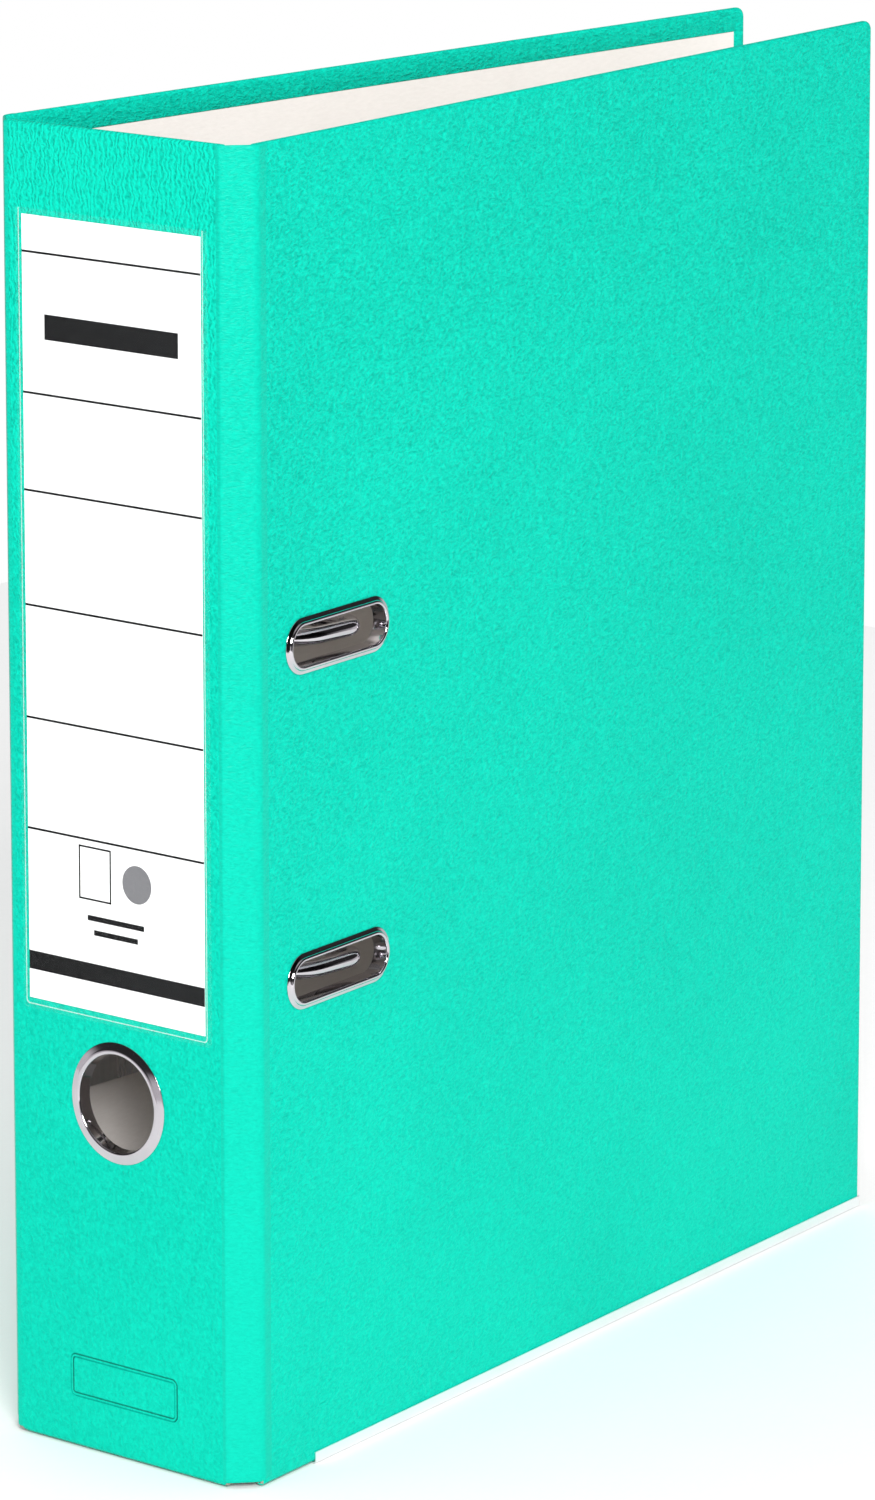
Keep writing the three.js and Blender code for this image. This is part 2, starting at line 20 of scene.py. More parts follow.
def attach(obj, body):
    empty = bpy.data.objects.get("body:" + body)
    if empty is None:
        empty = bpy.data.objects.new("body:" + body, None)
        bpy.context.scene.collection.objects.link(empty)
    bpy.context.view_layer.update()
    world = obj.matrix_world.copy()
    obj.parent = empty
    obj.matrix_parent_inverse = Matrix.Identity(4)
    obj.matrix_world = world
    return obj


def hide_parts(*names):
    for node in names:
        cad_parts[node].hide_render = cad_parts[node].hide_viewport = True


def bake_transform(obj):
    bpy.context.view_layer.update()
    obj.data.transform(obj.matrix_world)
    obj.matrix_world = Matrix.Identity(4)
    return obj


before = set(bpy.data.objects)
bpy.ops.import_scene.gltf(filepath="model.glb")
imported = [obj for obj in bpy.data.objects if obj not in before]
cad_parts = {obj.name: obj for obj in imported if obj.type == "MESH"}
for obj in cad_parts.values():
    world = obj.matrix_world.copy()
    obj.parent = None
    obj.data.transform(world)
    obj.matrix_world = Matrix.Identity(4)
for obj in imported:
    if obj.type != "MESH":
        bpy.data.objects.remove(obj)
log = logging.getLogger("lever_arch_file")

Points = np.ndarray
Place = Callable[[Points], Points]
Colour = tuple[float, float, float]

MM = 0.001          # metres in a millimetre
SEAM = 2e-6         # points closer than this, in metres, are one point


# ------------------------------------------------------------------ layout
class Side(Enum):
    """The two covers."""

    BACK = -1
    FRONT = 1


@dataclass(frozen=True)
class Layout:
    """The file's driving sizes, the same as the solids have."""

    height: float = 318.0
    depth: float = 285.0
    width: float = 80.0
    chamfer: float = 6.2
    panel: float = 2.5
    bottom: float = 0.35
    turn_in: float = 6.0
    turn_in_fore: float = 4.6
    ring_z: float = 159.0
    post_spacing: float = 80.0
    lean: float = math.radians(7.0)
    rivet_rise: float = 0.4
    ring_rise: float = 0.9

    @property
    def half(self) -> float:
        """Half the width."""
        return self.width / 2

    @property
    def spine_y(self) -> float:
        """The spine's outer face."""
        return -self.depth / 2

    @property
    def fore_y(self) -> float:
        """The fore-edge of the covers."""
        return self.depth / 2

    @property
    def hinge_y(self) -> float:
        """The hinge edge of the covers."""
        return self.spine_y + self.chamfer

    @property
    def spine_half(self) -> float:
        """Half the flat of the spine."""
        return self.half - self.chamfer

    @property
    def axis(self) -> tuple[float, float]:
        """The front hinge axis; the back one is its mirror image."""
        return self.half - self.chamfer / 2, self.spine_y + self.chamfer / 2

    @property
    def ring_levels(self) -> tuple[float, float]:
        """Heights of the lower and the upper ring."""
        return self.ring_z - self.post_spacing / 2, self.ring_z + self.post_spacing / 2

    @property
    def shift(self) -> np.ndarray:
        """Offset that centres the bounding box on the row frame's origin."""
        right = self.axis[0] + self.chamfer / 2 * (math.cos(self.lean) - math.sin(self.lean))
        return np.array([(self.half + self.rivet_rise - right) / 2, self.ring_rise / 2, 0.0])

    def place(self, points: Points) -> Points:
        """Layout millimetres to metres in the row frame."""
        return (np.asarray(points, float) + self.shift) * MM

    def swing(self, points: Points) -> Points:
        """Turns points of the square-built front cover in by its lean, about the hinge axis.

        Args:
            points: layout millimetres, x and y first; further coordinates stay.

        Returns:
            The turned points, in the same array shape.
        """
        p = np.array(points, float)
        ax, ay = self.axis
        c, s = math.cos(self.lean), math.sin(self.lean)
        x, y = p[..., 0] - ax, p[..., 1] - ay
        p[..., 0], p[..., 1] = ax + c * x - s * y, ay + s * x + c * y
        return p

    def cover(self, side: Side) -> Place:
        """Maps (along the depth, up, below the outer face) onto one cover.

        Args:
            side: which cover.

        Returns:
            A function from such points to metres in the row frame.
        """

        def onto(p: Points) -> Points:
            """Mirrors the points for the back cover, and leans them in for the front one."""
            out = np.stack([side.value * (self.half - p[..., 2]), p[..., 0], p[..., 1]], -1)
            return self.place(self.swing(out) if side is Side.FRONT else out)

        return onto

    def spine(self, p: Points) -> Points:
        """Maps (across, up, below the outer face) onto the spine."""
        return self.place(np.stack([p[..., 0], self.spine_y + p[..., 2], p[..., 1]], -1))


LAYOUT = Layout()


# ------------------------------------------------------------------ mesh building
@dataclass
class Surface:
    """Vertices and faces of one piece, gathered array by array."""

    points: list[Points] = field(default_factory=list)
    faces: list[list[int]] = field(default_factory=list)
    count: int = 0

    def add(self, points: Points) -> np.ndarray:
        """Adds points.

        Args:
            points: any array whose last axis is x, y, z.

        Returns:
            Their indices, in the array's own shape.
        """
        flat = np.asarray(points, float).reshape(-1, 3)
        index = np.arange(self.count, self.count + len(flat)).reshape(np.shape(points)[:-1])
        self.points.append(flat)
        self.count += len(flat)
        return index

    def grid(self, points: Points, wrap_rows: bool = False, wrap_columns: bool = False) -> np.ndarray:
        """Adds a grid of quads.

        Args:
            points: rows x columns x 3.
            wrap_rows: joins the last row to the first.
            wrap_columns: joins the last column to the first.

        Returns:
            The vertex indices, rows x columns.
        """
        index = self.add(points)
        a = np.concatenate([index, index[:1]], 0) if wrap_rows else index
        a = np.concatenate([a, a[:, :1]], 1) if wrap_columns else a
        quads = np.stack([a[:-1, :-1], a[1:, :-1], a[1:, 1:], a[:-1, 1:]], -1).reshape(-1, 4)
        self.faces.extend(quads.tolist())
        return index

    def fill(self, loops: Sequence[np.ndarray]) -> None:
        """Fills a flat face with triangles.

        Args:
            loops: vertex indices of its outline, then of each hole.
        """
        points = np.concatenate(self.points)
        chains = [[Vector(points[i]) for i in loop] for loop in loops]
        order = np.concatenate(loops)
        triangles = tessellate_polygon(chains)
        self.faces.extend([[int(order[k]) for k in t] for t in triangles])

    def fan(self, loop: np.ndarray, tip: Sequence[float]) -> None:
        """Closes a loop with triangles.

        Args:
            loop: vertex indices of the loop.
            tip: the point that the triangles meet at.
        """
        t = int(self.add(np.array([tip]))[0])
        pairs = np.stack([loop, np.roll(loop, -1)], -1)
        self.faces.extend([[int(a), int(b), t] for a, b in pairs])

    def bridge(self, a: np.ndarray, b: np.ndarray) -> None:
        """Closes the strip between two rows with quads.

        Args:
            a: vertex indices of one row.
            b: vertex indices of the other, in the same direction.
        """
        self.faces.extend(np.stack([a[:-1], a[1:], b[1:], b[:-1]], -1).tolist())

    def build(self, name: str, material: bpy.types.Material, body: str, slot: str,
              replaces: Sequence[str] = (), sharp: float = 40.0) -> bpy.types.Object:
        """Makes the mesh object, joins its seams, turns its faces out and sets it on its body.

        Args:
            name: the piece's name.
            material: its finish.
            body: the body it rides on, or "" for a piece that rides on no body.
            slot: the record's material slot; not used.
            replaces: the nodes it stands for.
            sharp: edges that turn by more than this many degrees stay sharp.

        Returns:
            The finished object, at the origin.
        """
        mesh = bpy.data.meshes.new(name)
        mesh.from_pydata(np.concatenate(self.points).tolist(), [], self.faces)
        bm = bmesh.new()
        bm.from_mesh(mesh)
        bmesh.ops.remove_doubles(bm, verts=bm.verts, dist=SEAM)
        bmesh.ops.dissolve_degenerate(bm, edges=bm.edges, dist=1e-7)
        bmesh.ops.recalc_face_normals(bm, faces=bm.faces)
        bm.to_mesh(mesh)
        bm.free()
        mesh.shade_smooth()
        mesh.set_sharp_from_angle(angle=math.radians(sharp))
        mesh.materials.append(material)
        obj = bpy.data.objects.new(name, mesh)
        bpy.context.scene.collection.objects.link(obj)
        if body:
            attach(obj, body)
        if replaces:
            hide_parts(*replaces)
        log.info("%s: %d faces", name, len(mesh.polygons))
        return obj


def rounded_loop(u0: float, u1: float, v0: float, v1: float, radii: Sequence[float],
                 steps: int = 8) -> Points:
    """Rectangle with rounded corners as one loop, anticlockwise from the lower left corner.

    Each corner is a quarter circle: centre + radius * (cos a, sin a), a over a right angle.

    Args:
        u0: left edge.
        u1: right edge.
        v0: lower edge.
        v1: upper edge.
        radii: corner radii: lower left, lower right, upper right, upper left.
        steps: points per corner, less one.

    Returns:
        4 (steps + 1) x 2 points.
    """
    r = np.maximum(np.asarray(radii, float), 1e-3)
    centres = np.array([[u0 + r[0], v0 + r[0]], [u1 - r[1], v0 + r[1]],
                        [u1 - r[2], v1 - r[2]], [u0 + r[3], v1 - r[3]]])
    start = np.array([math.pi, 1.5 * math.pi, 0.0, 0.5 * math.pi])
    a = start[:, None] + np.linspace(0, math.pi / 2, steps + 1)[None]
    ring = centres[:, None] + r[:, None, None] * np.stack([np.cos(a), np.sin(a)], -1)
    return ring.reshape(-1, 2)


def with_depth(loop: Points, depth: float) -> Points:
    """Adds a constant third coordinate to a loop."""
    return np.concatenate([loop, np.full(loop.shape[:-1] + (1,), depth)], -1)


def quarter(steps: int) -> tuple[np.ndarray, np.ndarray]:
    """Sine and cosine over a right angle, both ends included."""
    a = np.linspace(0, math.pi / 2, steps + 1)
    return np.sin(a), np.cos(a)


@dataclass(frozen=True)
class Station:
    """One loop of a panel's edge: how far in from each edge, and how deep."""

    left: float
    right: float
    low: float
    high: float
    deep: float


def panel_stations(edge: float, inner: float, thick: float, turn_left: float, turn_right: float,
                   turn_low: float, turn_high: float, step: float = 0.32) -> list[Station]:
    """Loops from the outer face round the edge to the recess that holds the lining.

    The edge is a quarter circle of radius `edge`, a straight wall, and a quarter circle of radius
    `inner`; the turn-in then runs flat to its own width and drops by `step`.

    Args:
        edge: radius at the outer face.
        inner: radius at the inner face.
        thick: thickness of the covered board.
        turn_left: width of the turn-in on the left; the next three are the other edges.
        turn_right: on the right.
        turn_low: at the bottom.
        turn_high: at the top.
        step: how far the recess lies below the turn-in.

    Returns:
        The loops in order, from the outer face inwards.
    """
    s, c = quarter(5)
    out = [Station(*(4 * (edge + 1.4,)), 0.0)]
    out += [Station(*(4 * (edge * (1 - a),)), edge * (1 - b)) for a, b in zip(s, c)]
    out += [Station(*(4 * (inner * (1 - b),)), thick - inner * (1 - a)) for a, b in zip(s, c)]
    turn = np.array([turn_left, turn_right, turn_low, turn_high])
    drop = ((-0.12, thick), (0.0, thick - 0.1), (0.0, thick - step), (0.7, thick - step))
    for extra, deep in drop:
        out.append(Station(*(np.maximum(turn + extra, inner + 0.05 + max(extra, 0))), deep))
    return out


def panel(rect: tuple[float, float, float, float], radii: Sequence[float],
          stations: Sequence[Station], holes: Sequence[Points], onto: Place) -> Surface:
    """A covered board: outer face, rolled edge, turn-in and recess, with holes straight through.

    Args:
        rect: u0, u1, v0, v1 of its outline.
        radii: corner radii of the outline.
        stations: loops of its edge, from the outer face to the recess.
        holes: loops of the holes.
        onto: maps (u, v, depth) to metres in the row frame.

    Returns:
        The closed surface.
    """
    u0, u1, v0, v1 = rect
    rings = []
    for s in stations:
        inset = np.array([max(s.left, s.low), max(s.right, s.low),
                          max(s.right, s.high), max(s.left, s.high)])
        loop = rounded_loop(u0 + s.left, u1 - s.right, v0 + s.low, v1 - s.high,
                            np.maximum(np.asarray(radii) - inset, 0.02), 6)
        rings.append(with_depth(loop, s.deep))
    surface = Surface()
    edge = surface.grid(onto(np.array(rings)), wrap_columns=True)
    outer, inner = [edge[0]], [edge[-1]]
    for hole in holes:
        rims = [with_depth(hole, s.deep) for s in (stations[0], stations[-1])]
        wall = surface.grid(onto(np.array(rims)), wrap_columns=True)
        outer.append(wall[0])
        inner.append(wall[1])
    surface.fill(outer)
    surface.fill(inner)
    return surface


def ring_sweep(loops: Points, onto: Place) -> Surface:
    """A closed profile carried round a closed path.

    Args:
        loops: profile points x path points x 3, joined both ways.
        onto: maps (u, v, depth) to metres in the row frame.

    Returns:
        The closed surface.
    """
    surface = Surface()
    surface.grid(onto(loops), wrap_rows=True, wrap_columns=True)
    return surface


def stadium(u0: float, u1: float, middle: float, half: float, grow: float, steps: int = 12) -> Points:
    """Slot outline with half-round ends, grown outwards by `grow`."""
    r = half + grow
    return rounded_loop(u0 - grow, u1 + grow, middle - r, middle + r, [r - 1e-3] * 4, steps)


def revolve(profile: Points, axis: str, centre: Sequence[float], segments: int = 64) -> Surface:
    """Turns a profile about an axis: radius * (cos a, sin a) in the plane across it, a over a full turn.

    Args:
        profile: k x 2, radius and place along the axis; it ends on the axis or closes on itself.
        axis: "x", "y" or "z".
        centre: the two other coordinates of the axis, in their x, y, z order.
        segments: steps of the turn.

    Returns:
        The closed surface, in the row frame.
    """
    p = np.asarray(profile, float)
    a = np.linspace(0, 2 * math.pi, segments, endpoint=False)
    radial = np.stack([np.cos(a), np.sin(a)], -1)
    plane = np.asarray(centre)[None, None] + p[:, None, :1] * radial[None]
    along = np.repeat(p[:, 1:], segments, 1)
    order = {"x": (2, 0, 1), "y": (0, 2, 1), "z": (0, 1, 2)}[axis]
    stacked = np.concatenate([plane, along[..., None]], -1)[..., list(order)]
    closed = bool(np.allclose(p[0], p[-1]))
    surface = Surface()
    if closed:
        surface.grid(LAYOUT.place(stacked[:-1]), wrap_rows=True, wrap_columns=True)
    else:
        surface.grid(LAYOUT.place(stacked), wrap_columns=True)
    return surface


def soften(points: Sequence[Sequence[float]], radius: float, steps: int = 4,
           closed: bool = False) -> Points:
    """Rounds the corners of a flat polyline.

    Each corner becomes a quadratic arc (1-t)^2 a + 2t(1-t) corner + t^2 b, where a and b lie on its two
    edges, `radius` or less than half an edge away.

    Args:
        points: n x 2 corners.
        radius: how far along its edges each corner is cut.
        steps: steps of each arc.
        closed: joins the last corner to the first; the ends of an open line stay sharp.

    Returns:
        The softened line, m x 2.
    """
    p = np.asarray(points, float)
    before = np.roll(p, 1, 0) if closed else np.concatenate([p[:1], p[:-1]])
    after = np.roll(p, -1, 0) if closed else np.concatenate([p[1:], p[-1:]])
    to_before, to_after = before - p, after - p
    lb = np.linalg.norm(to_before, axis=1, keepdims=True)
    la = np.linalg.norm(to_after, axis=1, keepdims=True)
    a = p + to_before * np.minimum(radius, 0.48 * lb) / np.maximum(lb, 1e-9)
    b = p + to_after * np.minimum(radius, 0.48 * la) / np.maximum(la, 1e-9)
    t = np.linspace(0, 1, steps + 1)[None, :, None]
    arcs = (1 - t) ** 2 * a[:, None] + 2 * t * (1 - t) * p[:, None] + t ** 2 * b[:, None]
    if closed:
        return arcs.reshape(-1, 2)
    return np.concatenate([p[:1], arcs[1:-1].reshape(-1, 2), p[-1:]])


def bent_path(corners: Sequence[Sequence[float]], arc_steps: int = 10) -> tuple[Points, Points]:
    """Centre line of a bent wire, with its directions.

    Args:
        corners: x, y, z and bend radius of each corner.
        arc_steps: steps of each bend, a true arc turned about its own axis.

    Returns:
        Points and unit tangents, both n x 3.
    """
    at = np.asarray(corners, float)
    points, tangents = [at[0, :3]], [(at[1, :3] - at[0, :3])]
    for i in range(1, len(at) - 1):
        into = at[i, :3] - at[i - 1, :3]
        out = at[i + 1, :3] - at[i, :3]
        into, out = into / np.linalg.norm(into), out / np.linalg.norm(out)
        turn, r = math.acos(float(into @ out)), at[i, 3]
        side = out - into
        side /= np.linalg.norm(side)
        centre = at[i, :3] + side * r / math.cos(turn / 2)
        first = at[i, :3] - into * r * math.tan(turn / 2) - centre
        a = np.linspace(0, turn, arc_steps + 1)[:, None]
        points.extend(centre + first * np.cos(a) + into * r * np.sin(a))
        tangents.extend(into * np.cos(a) - first / r * np.sin(a))
    points.append(at[-1, :3])
    tangents.append(at[-1, :3] - at[-2, :3])
    t = np.array(tangents)
    return np.array(points), t / np.linalg.norm(t, axis=1, keepdims=True)


def tube(points: Points, tangents: Points, radii: np.ndarray, sides: int = 24) -> Surface:
    """Round tube along a path, its frame turned as little as possible from point to point.

    Each ring is the point + radius * (cos a * normal + sin a * binormal), a over a full turn.

    Args:
        points: the path, n x 3.
        tangents: its unit directions.
        radii: the tube's radius at each point.
        sides: points of each ring.

    Returns:
        The closed surface, in the row frame.
    """
    normal = np.cross(tangents[0], [0.31, 0.17, 0.94])
    normal /= np.linalg.norm(normal)
    normals = []
    for t in tangents:
        normal = normal - t * float(normal @ t)
        normal /= np.linalg.norm(normal)
        normals.append(normal)
    n = np.array(normals)
    b = np.cross(tangents, n)
    a = np.linspace(0, 2 * math.pi, sides, endpoint=False)
    ring = n[:, None] * np.cos(a)[None, :, None] + b[:, None] * np.sin(a)[None, :, None]
    surface = Surface()
    rings = points[:, None] + ring * radii[:, None, None]
    index = surface.grid(LAYOUT.place(rings), wrap_columns=True)
    surface.fan(index[0], LAYOUT.place(points[0]))
    surface.fan(index[-1], LAYOUT.place(points[-1]))
    return surface


# ------------------------------------------------------------------ finishes
class Nodes:
    """A material's node tree, built call by call."""

    def __init__(self, name: str) -> None:
        """Starts an empty material with its output and main shader.

        Args:
            name: the material's name.
        """
        self.material = bpy.data.materials.new(name)
        self.material.use_nodes = True
        self.tree = self.material.node_tree
        self.tree.nodes.clear()
        self.out = self.tree.nodes.new("ShaderNodeOutputMaterial")
        self.shader = self.tree.nodes.new("ShaderNodeBsdfPrincipled")
        self.tree.links.new(self.shader.outputs["BSDF"], self.out.inputs["Surface"])
        self.place = self.tree.nodes.new("ShaderNodeTexCoord").outputs["Object"]

    def add(self, kind: str, **settings: object) -> bpy.types.Node:
        """Adds a node.

        Args:
            kind: the node's type.
            **settings: its attributes.

        Returns:
            The node.
        """
        node = self.tree.nodes.new(kind)
        for key, value in settings.items():
            setattr(node, key, value)
        return node

    def put(self, node: bpy.types.Node, key: str | int, value: object) -> None:
        """Sets an input socket, or links another socket to it.

        Args:
            node: the node.
            key: the input's name or place.
            value: a value, or the socket to link.
        """
        if isinstance(value, bpy.types.NodeSocket):
            self.tree.links.new(value, node.inputs[key])
        else:
            node.inputs[key].default_value = value

    def math(self, operation: str, a: object, b: object = 0.0,
             clamp: bool = False) -> bpy.types.NodeSocket:
        """One sum, product or other operation.

        Args:
            operation: its name.
            a: first value or socket.
            b: second value or socket.
            clamp: keeps the result between 0 and 1.

        Returns:
            The result.
        """
        node = self.add("ShaderNodeMath", operation=operation, use_clamp=clamp)
        self.put(node, 0, a)
        self.put(node, 1, b)
        return node.outputs[0]

    def stretch(self, scale: Sequence[float]) -> bpy.types.NodeSocket:
        """Object coordinates, scaled along each axis.

        Args:
            scale: factor along x, y and z.

        Returns:
            The scaled coordinates.
        """
        node = self.add("ShaderNodeMapping")
        self.put(node, "Vector", self.place)
        self.put(node, "Scale", tuple(scale))
        return node.outputs[0]

    def noise(self, scale: float, detail: float = 2.0, rough: float = 0.5,
              vector: object = None) -> bpy.types.NodeSocket:
        """Fractal noise, 0 to 1.

        Args:
            scale: waves per metre.
            detail: octaves.
            rough: how much of each finer octave is added.
            vector: coordinates other than the object's.

        Returns:
            The noise.
        """
        node = self.add("ShaderNodeTexNoise")
        self.put(node, "Vector", vector or self.place)
        for key, value in (("Scale", scale), ("Detail", detail), ("Roughness", rough)):
            self.put(node, key, value)
        return node.outputs["Fac"]

    def spread(self, value: object, low: float, high: float, to_low: float,
               to_high: float) -> bpy.types.NodeSocket:
        """Maps a range onto another, clamped.

        Args:
            value: value or socket to map.
            low: start of its range.
            high: end of its range.
            to_low: start of the new range.
            to_high: end of the new range.

        Returns:
            The mapped value.
        """
        node = self.add("ShaderNodeMapRange", clamp=True)
        for key, v in (("Value", value), ("From Min", low), ("From Max", high),
                       ("To Min", to_low), ("To Max", to_high)):
            self.put(node, key, v)
        return node.outputs[0]

    def blend(self, factor: object, a: Colour, b: Colour) -> bpy.types.NodeSocket:
        """Mixes two colours.

        Args:
            factor: 0 for the first, 1 for the second.
            a: first colour.
            b: second colour.

        Returns:
            The mixed colour.
        """
        node = self.add("ShaderNodeMix", data_type="RGBA")
        self.put(node, 0, factor)
        node.inputs[6].default_value = (*a, 1)
        node.inputs[7].default_value = (*b, 1)
        return node.outputs[2]

    def axis(self, name: str) -> bpy.types.NodeSocket:
        """One of the object coordinates.

        Args:
            name: X, Y or Z.

        Returns:
            The coordinate, in metres.
        """
        node = self.add("ShaderNodeSeparateXYZ")
        self.put(node, 0, self.place)
        return node.outputs[name]

    def shove(self, scale: float, amount: float) -> bpy.types.NodeSocket:
        """A random offset that varies smoothly from place to place.

        Args:
            scale: waves per metre.
            amount: the offset's size, in metres.

        Returns:
            The offset, a vector.
        """
        noise = self.add("ShaderNodeTexNoise")
        self.put(noise, "Vector", self.place)
        self.put(noise, "Scale", scale)
        node = self.add("ShaderNodeVectorMath", operation="SCALE")
        self.put(node, 0, noise.outputs["Color"])
        self.put(node, "Scale", amount)
        return node.outputs[0]

    def fold(self, value: object) -> bpy.types.NodeSocket:
        """Folds a noise about its middle, so that its mid-level lines become ridges of height 1."""
        away = self.math("ABSOLUTE", self.math("SUBTRACT", value, 0.5))
        return self.spread(away, 0.0, 0.16, 1.0, 0.0)

    def bump(self, height: object, distance: float) -> None:
        """Sets the shader's normal from a height.

        Args:
            height: the height, about 0 to 1.
            distance: the metres that a height of 1 stands for.
        """
        node = self.add("ShaderNodeBump")
        self.put(node, "Height", height)
        self.put(node, "Distance", distance)
        self.put(node, "Strength", 1.0)
        self.put(self.shader, "Normal", node.outputs[0])

    def set(self, **sockets: object) -> None:
        """Sets the main shader's sockets; an underscore in a name stands for a space."""
        for key, value in sockets.items():
            self.put(self.shader, key.replace("_", " "), value)


@dataclass(frozen=True)
class EmbossedSkin:
    """Paper-backed foil embossed with a fine leather grain.

    `run` stretches the grain: a small value along an axis makes its wrinkles run that way. `crease` adds
    wrinkles that grow towards the top edge, and `stamp` is a sunk outline: centre x and z, half sizes, in mm.
    """

    name: str = "embossed_skin"
    # The valley and crest colours follow the grain's height: painted shade in its hollows, a painted
    # highlight on its tops.
    valley_painted_shade: Colour = (0.001, 0.40, 0.295)
    crest_painted_highlight: Colour = (0.003, 0.66, 0.480)
    roughness: float = 0.42
    run: tuple[float, float, float] = (1.0, 0.55, 1.25)
    relief: float = 0.00036
    gloss: float = 0.025
    crease: float = 0.0
    stamp: tuple[float, float, float, float] | None = None

    def material(self) -> bpy.types.Material:
        """Ridges are noise folded about its middle, on coordinates shoved by a coarser noise.

        The relief is calmed towards the foot, about the height's own mean.

        Returns:
            The material.
        """
        n = Nodes(self.name)
        moved = n.add("ShaderNodeVectorMath", operation="ADD")
        n.put(moved, 0, n.stretch(self.run))
        n.put(moved, 1, n.shove(380.0, 0.0016))
        ridges = n.fold(n.noise(1000.0, 1.0, 0.5, moved.outputs[0]))
        rough = n.noise(1250.0, 2.0, 0.6, moved.outputs[0])
        height = n.math("ADD", n.math("MULTIPLY", ridges, 0.25), n.math("MULTIPLY", rough, 1.2))
        if self.crease:
            rise = n.spread(n.axis("Z"), 0.20, 0.318, 0.15, self.crease)
            wave = n.add("ShaderNodeTexWave", wave_type="BANDS", bands_direction="X")
            for key, value in (("Vector", n.place), ("Scale", 215.0), ("Distortion", 9.0), ("Detail", 2.0),
                               ("Detail Scale", 1.6)):
                n.put(wave, key, value)
            wrinkle = n.math("MULTIPLY", wave.outputs["Fac"], 0.6)
            height = n.math("ADD", height, n.math("MULTIPLY", wrinkle, rise))
        mean = 0.73
        calm = n.spread(n.axis("Z"), 0.02, 0.26, 0.55, 1.0)
        height = n.math("ADD", n.math("MULTIPLY", n.math("SUBTRACT", height, mean), calm), mean)
        # Painted shade and highlight: the colour darkens with the grain's depth and lightens on its tops,
        # over a random cloud of tone.
        tone = n.spread(height, 0.42, 1.05, 0.0, 1.0)
        cloud = n.spread(n.noise(14.0, 3.0, 0.5), 0.3, 0.7, -0.08, 0.08)
        n.set(Base_Color=n.blend(n.math("ADD", tone, cloud, True), self.valley_painted_shade, self.crest_painted_highlight),
              Roughness=n.spread(height, 0.3, 0.9, self.roughness + 0.08, self.roughness - 0.08),
              Specular_IOR_Level=self.gloss)
        if self.stamp:
            height = n.math("ADD", height, n.math("MULTIPLY", self.stamped(n), -3.0))
        n.bump(height, self.relief)
        return n.material

    def stamped(self, n: Nodes) -> bpy.types.NodeSocket:
        """The stamped outline: where the distance to a rounded box is near the corner radius.

        Args:
            n: the material's nodes.

        Returns:
            1 on the outline, 0 off it.
        """
        cx, cz, half_w, half_h = (v * MM for v in self.stamp)
        px = n.math("SUBTRACT", n.math("ABSOLUTE", n.math("SUBTRACT", n.axis("X"), cx)), half_w)
        pz = n.math("SUBTRACT", n.math("ABSOLUTE", n.math("SUBTRACT", n.axis("Z"), cz)), half_h)
        ox, oz = n.math("MAXIMUM", px, 0.0), n.math("MAXIMUM", pz, 0.0)
        out = n.math("SQRT", n.math("ADD", n.math("MULTIPLY", ox, ox), n.math("MULTIPLY", oz, oz)))
        gap = n.math("ADD", out, n.math("MINIMUM", n.math("MAXIMUM", px, pz), 0.0))
        line = n.math("ABSOLUTE", n.math("SUBTRACT", gap, 0.0012))
        return n.spread(line, 0.0002, 0.0006, 1.0, 0.0)


@dataclass(frozen=True)
class Metal:
    """Plated or brushed metal."""

    name: str
    tone: Colour = (0.80, 0.80, 0.82)
    shade: Colour = (0.66, 0.66, 0.68)
    roughness: float = 0.14
    brushed: float = 0.0
    relief: float = 0.00001

    def material(self) -> bpy.types.Material:
        """Tone and roughness vary with faint clouds; brushed metal also has fine lines along z.

        Returns:
            The material.
        """
        n = Nodes(self.name)
        cloud = n.noise(60.0, 3.0, 0.6)
        lines = n.noise(900.0, 3.0, 0.7, n.stretch((1.0, 1.0, 0.03)))
        grained = n.math("MULTIPLY", lines, self.brushed)
        mixed = n.math("ADD", n.math("MULTIPLY", cloud, 1 - self.brushed), grained)
        tone = n.spread(mixed, 0.3, 0.7, 0.0, 1.0)
        n.set(Metallic=1.0, Base_Color=n.blend(tone, self.shade, self.tone),
              Roughness=n.spread(mixed, 0.3, 0.7, self.roughness + 0.05, max(self.roughness - 0.04, 0.03)))
        n.bump(n.math("ADD", grained, n.math("MULTIPLY", n.noise(220.0), 0.4)), self.relief)
        return n.material


@dataclass(frozen=True)
class Paper:
    """Paper, card or board, with fibres."""

    name: str
    light: Colour = (0.82, 0.775, 0.742)
    dark: Colour = (0.77, 0.725, 0.69)
    roughness: float = 0.8
    relief: float = 0.00003
    gloss: float = 0.25

    def material(self) -> bpy.types.Material:
        """Fibres are noise drawn out along one direction, over a soft cloud.

        Returns:
            The material.
        """
        n = Nodes(self.name)
        fibre = n.noise(1400.0, 3.0, 0.6, n.stretch((1.0, 0.25, 1.0)))
        cloud = n.noise(35.0, 2.0)
        tone = n.math("ADD", n.math("MULTIPLY", fibre, 0.6), n.math("MULTIPLY", cloud, 0.4))
        n.set(Base_Color=n.blend(n.spread(tone, 0.35, 0.65, 0.0, 1.0), self.dark, self.light),
              Roughness=n.spread(fibre, 0.3, 0.7, self.roughness - 0.05, self.roughness + 0.05),
              Specular_IOR_Level=self.gloss)
        n.bump(fibre, self.relief)
        return n.material


@dataclass(frozen=True)
class Plastic:
    """Moulded or cast plastic."""

    name: str
    light: Colour
    dark: Colour
    roughness: float = 0.4
    alpha: float = 1.0
    relief: float = 0.00002

    def material(self) -> bpy.types.Material:
        """A fine spark-eroded texture over a soft cloud.

        Returns:
            The material.
        """
        n = Nodes(self.name)
        fine = n.noise(1800.0, 2.0, 0.6)
        cloud = n.noise(40.0, 2.0)
        n.set(Base_Color=n.blend(n.spread(cloud, 0.35, 0.65, 0.0, 1.0), self.dark, self.light),
              Roughness=n.spread(fine, 0.3, 0.7, self.roughness - 0.06, self.roughness + 0.06),
              Alpha=self.alpha)
        n.bump(fine, self.relief)
        return n.material


